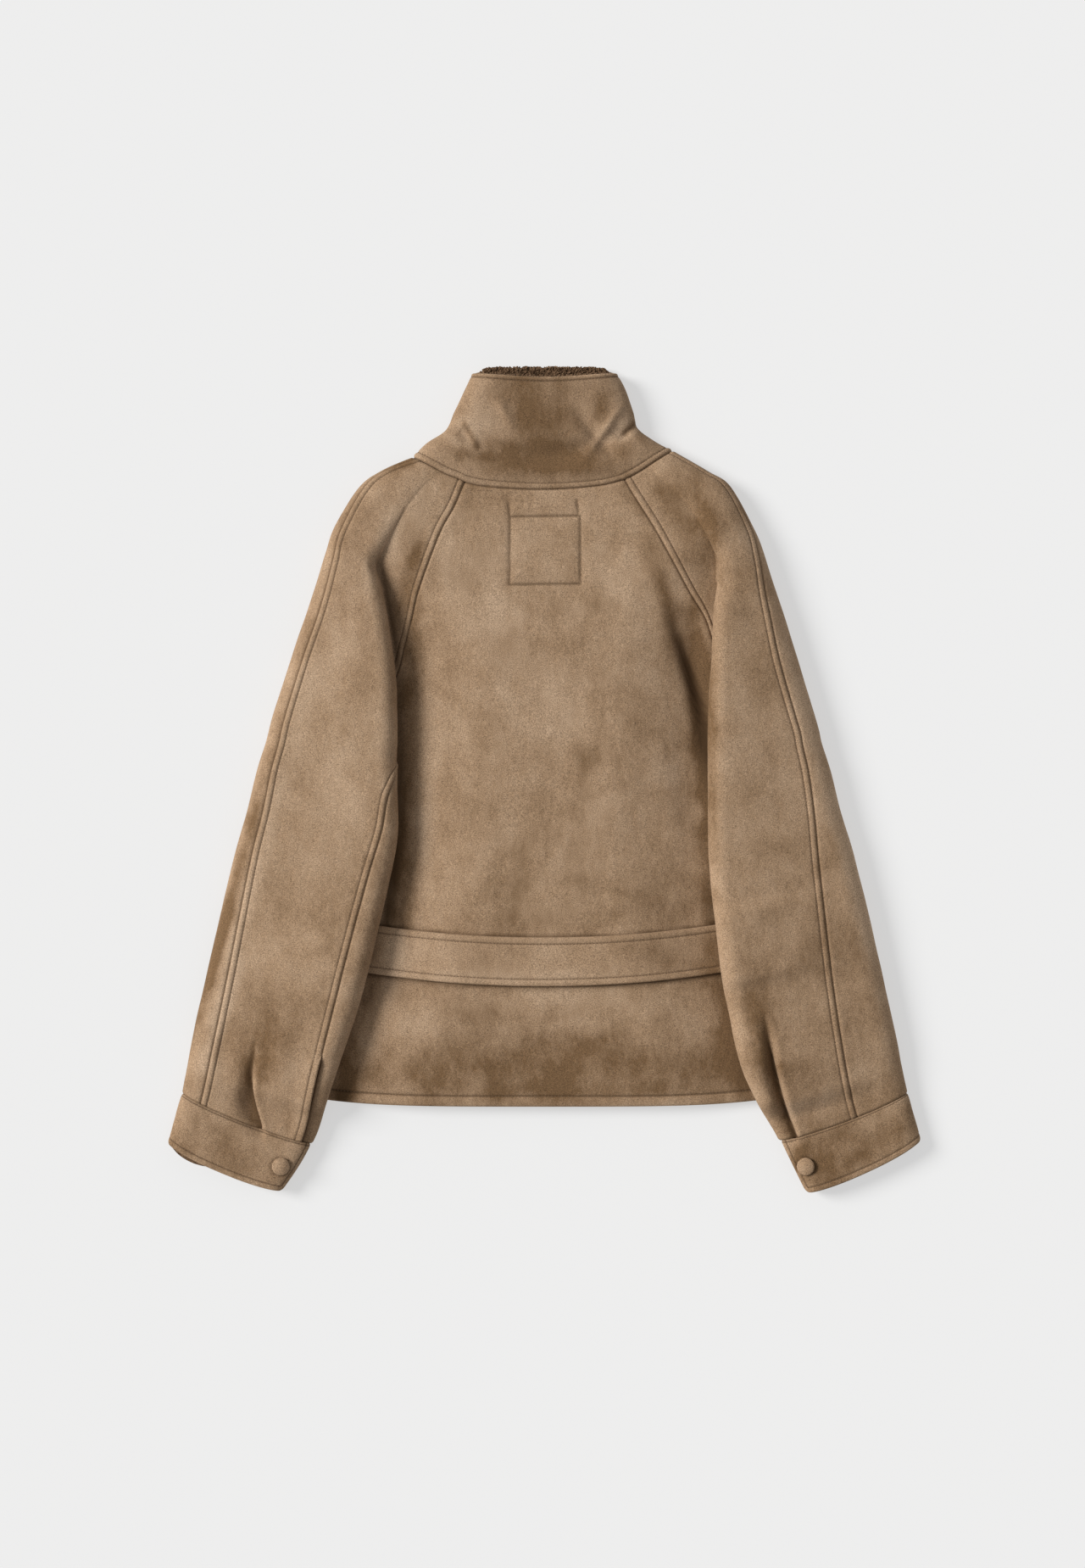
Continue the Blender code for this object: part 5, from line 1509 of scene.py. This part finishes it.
def sewStitches():
    points, edges = [], []
    for line in stitchLines:
        edges += [(k, k + 1) for k in range(len(points), len(points) + len(line) - 1)]
        points += line.tolist()
    runTree("topstitching", newMesh("stitchLines", points, edges, []), makeStitchTree(),
            {"Spacing": stitch["spacing"] * mm, "Length": stitch["length"] * mm,
             "Thickness": stitch["thickness"] * mm, "Thread": makeThread()})


def makeCurlTree():
    tree, given, out = newTree("pileCurls", (
        ("Density", "Float"), ("Curl Size", "Float"), ("Seed", "Int"), ("Pile", "Material")))
    seed = given["Seed"]
    scatter = addNode(tree, "GeometryNodeDistributePointsOnFaces",
                      {"Mesh": given["Geometry"], "Density": given["Density"], "Seed": seed})
    curl = addNode(tree, "GeometryNodeCurveSpiral", {
        "Resolution": 7, "Rotations": 1.1, "Start Radius": 0.9, "End Radius": 0.45, "Height": 0.7})
    ring = addNode(tree, "GeometryNodeCurvePrimitiveCircle", {"Resolution": 4, "Radius": 0.36})
    tube = addNode(tree, "GeometryNodeCurveToMesh",
                   {0: curl.outputs[0], 1: ring.outputs[0], "Fill Caps": True})
    spin = addNode(tree, "FunctionNodeRandomValue", {"Max": (math.tau, math.tau, math.tau), "Seed": seed},
                   data_type="FLOAT_VECTOR")
    turn = addNode(tree, "FunctionNodeEulerToRotation", {0: spin.outputs["Value"]})
    grow = addNode(tree, "FunctionNodeRandomValue", {2: 0.7, 3: 1.25, "Seed": seed}, data_type="FLOAT")
    size = doMath(tree, "MULTIPLY", grow.outputs[1], given["Curl Size"])
    repeatCopy(tree, out, scatter.outputs["Points"], tube.outputs[0], turn.outputs[0], size, given["Pile"])
    return tree


def growCurls(panel):
    # curls stand on the facing near its rim, where it shows
    face = panel["base"] + panel["normals"] * (panel["relief"] - lining["curlSink"])[:, :, None]
    shown = np.flatnonzero(panel["fromBottom"][:, face.shape[1] // 2] < lining["curlReach"])
    rim = panel["base"][-1:] - panel["normals"][-1:] * lining["curlRim"]
    grid = np.vstack((face[shown[0]:], rim)) * mm
    number = np.arange(grid.shape[0] * grid.shape[1]).reshape(grid.shape[:2])
    bed = newMesh("curlBed", grid.reshape(-1, 3).tolist(), [], gridFaces(number).tolist())
    area = sum(p.area for p in bed.polygons)
    runTree("pileCurls", bed, makeCurlTree(),
            {"Density": lining["curls"] / area, "Curl Size": lining["curlSize"] * mm,
             "Seed": lining["curlSeed"], "Pile": makePile("curls", lining["curlScale"])})


sewStitches()
growCurls(liningPanel)
say("stitches and curls")


# ---- floor, light and camera

studio = {
    "floor": (0.34, 0.34, 0.34),
    "floorHalf": 40.0,
    "floorDrop": 0.0004,
    "floorGlow": 0.530,             # lifts the floor's shadows
    "ambient": 0.34,
    "keyEnergy": 3.55,
    "keyAngle": 24.0,               # wide and soft
    "keyColour": (1.0, 0.995, 0.985),
    "keyFrom": (-1.55, 0.48, 1.05),
    "camera": (-0.0013, -0.0043, 4.015),
    "lens": 91.7,
}


def buildStudio():
    scene = bpy.context.scene
    scene.view_settings.view_transform = "Standard"
    scene.world = bpy.data.worlds.new("studio")
    scene.world.use_nodes = True
    tree = scene.world.node_tree
    feedAll(tree, tree.nodes["Background"], {"Color": (1, 1, 1, 1), "Strength": studio["ambient"]})

    half = studio["floorHalf"]
    corners = [(-half, -half, 0), (half, -half, 0), (half, half, 0), (-half, half, 0)]
    mesh = newMesh("floor", corners, [], [(0, 1, 2, 3)])
    paper, tree, shader = newFinish("palePaper")
    feedAll(tree, shader, {"Base Color": (*studio["floor"], 1), "Roughness": 0.9, "Specular IOR Level": 0.0,
                           "Emission Color": (1, 1, 1, 1), "Emission Strength": studio["floorGlow"]})
    mesh.materials.append(paper)
    floor = newPiece("floor", mesh)
    floor.location.z = -studio["floorDrop"]

    key = bpy.data.lights.new("key", "SUN")
    key.energy = studio["keyEnergy"]
    key.angle = math.radians(studio["keyAngle"])
    key.color = studio["keyColour"]
    lamp = newPiece("key", key)
    lamp.rotation_euler = (-Vector(studio["keyFrom"])).to_track_quat("-Z", "Y").to_euler()

    lens = bpy.data.cameras.new("camera")
    lens.lens = studio["lens"]
    lens.sensor_width = 36.0
    scene.camera = newPiece("camera", lens)
    scene.camera.location = studio["camera"]


buildStudio()
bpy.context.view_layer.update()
say("done")
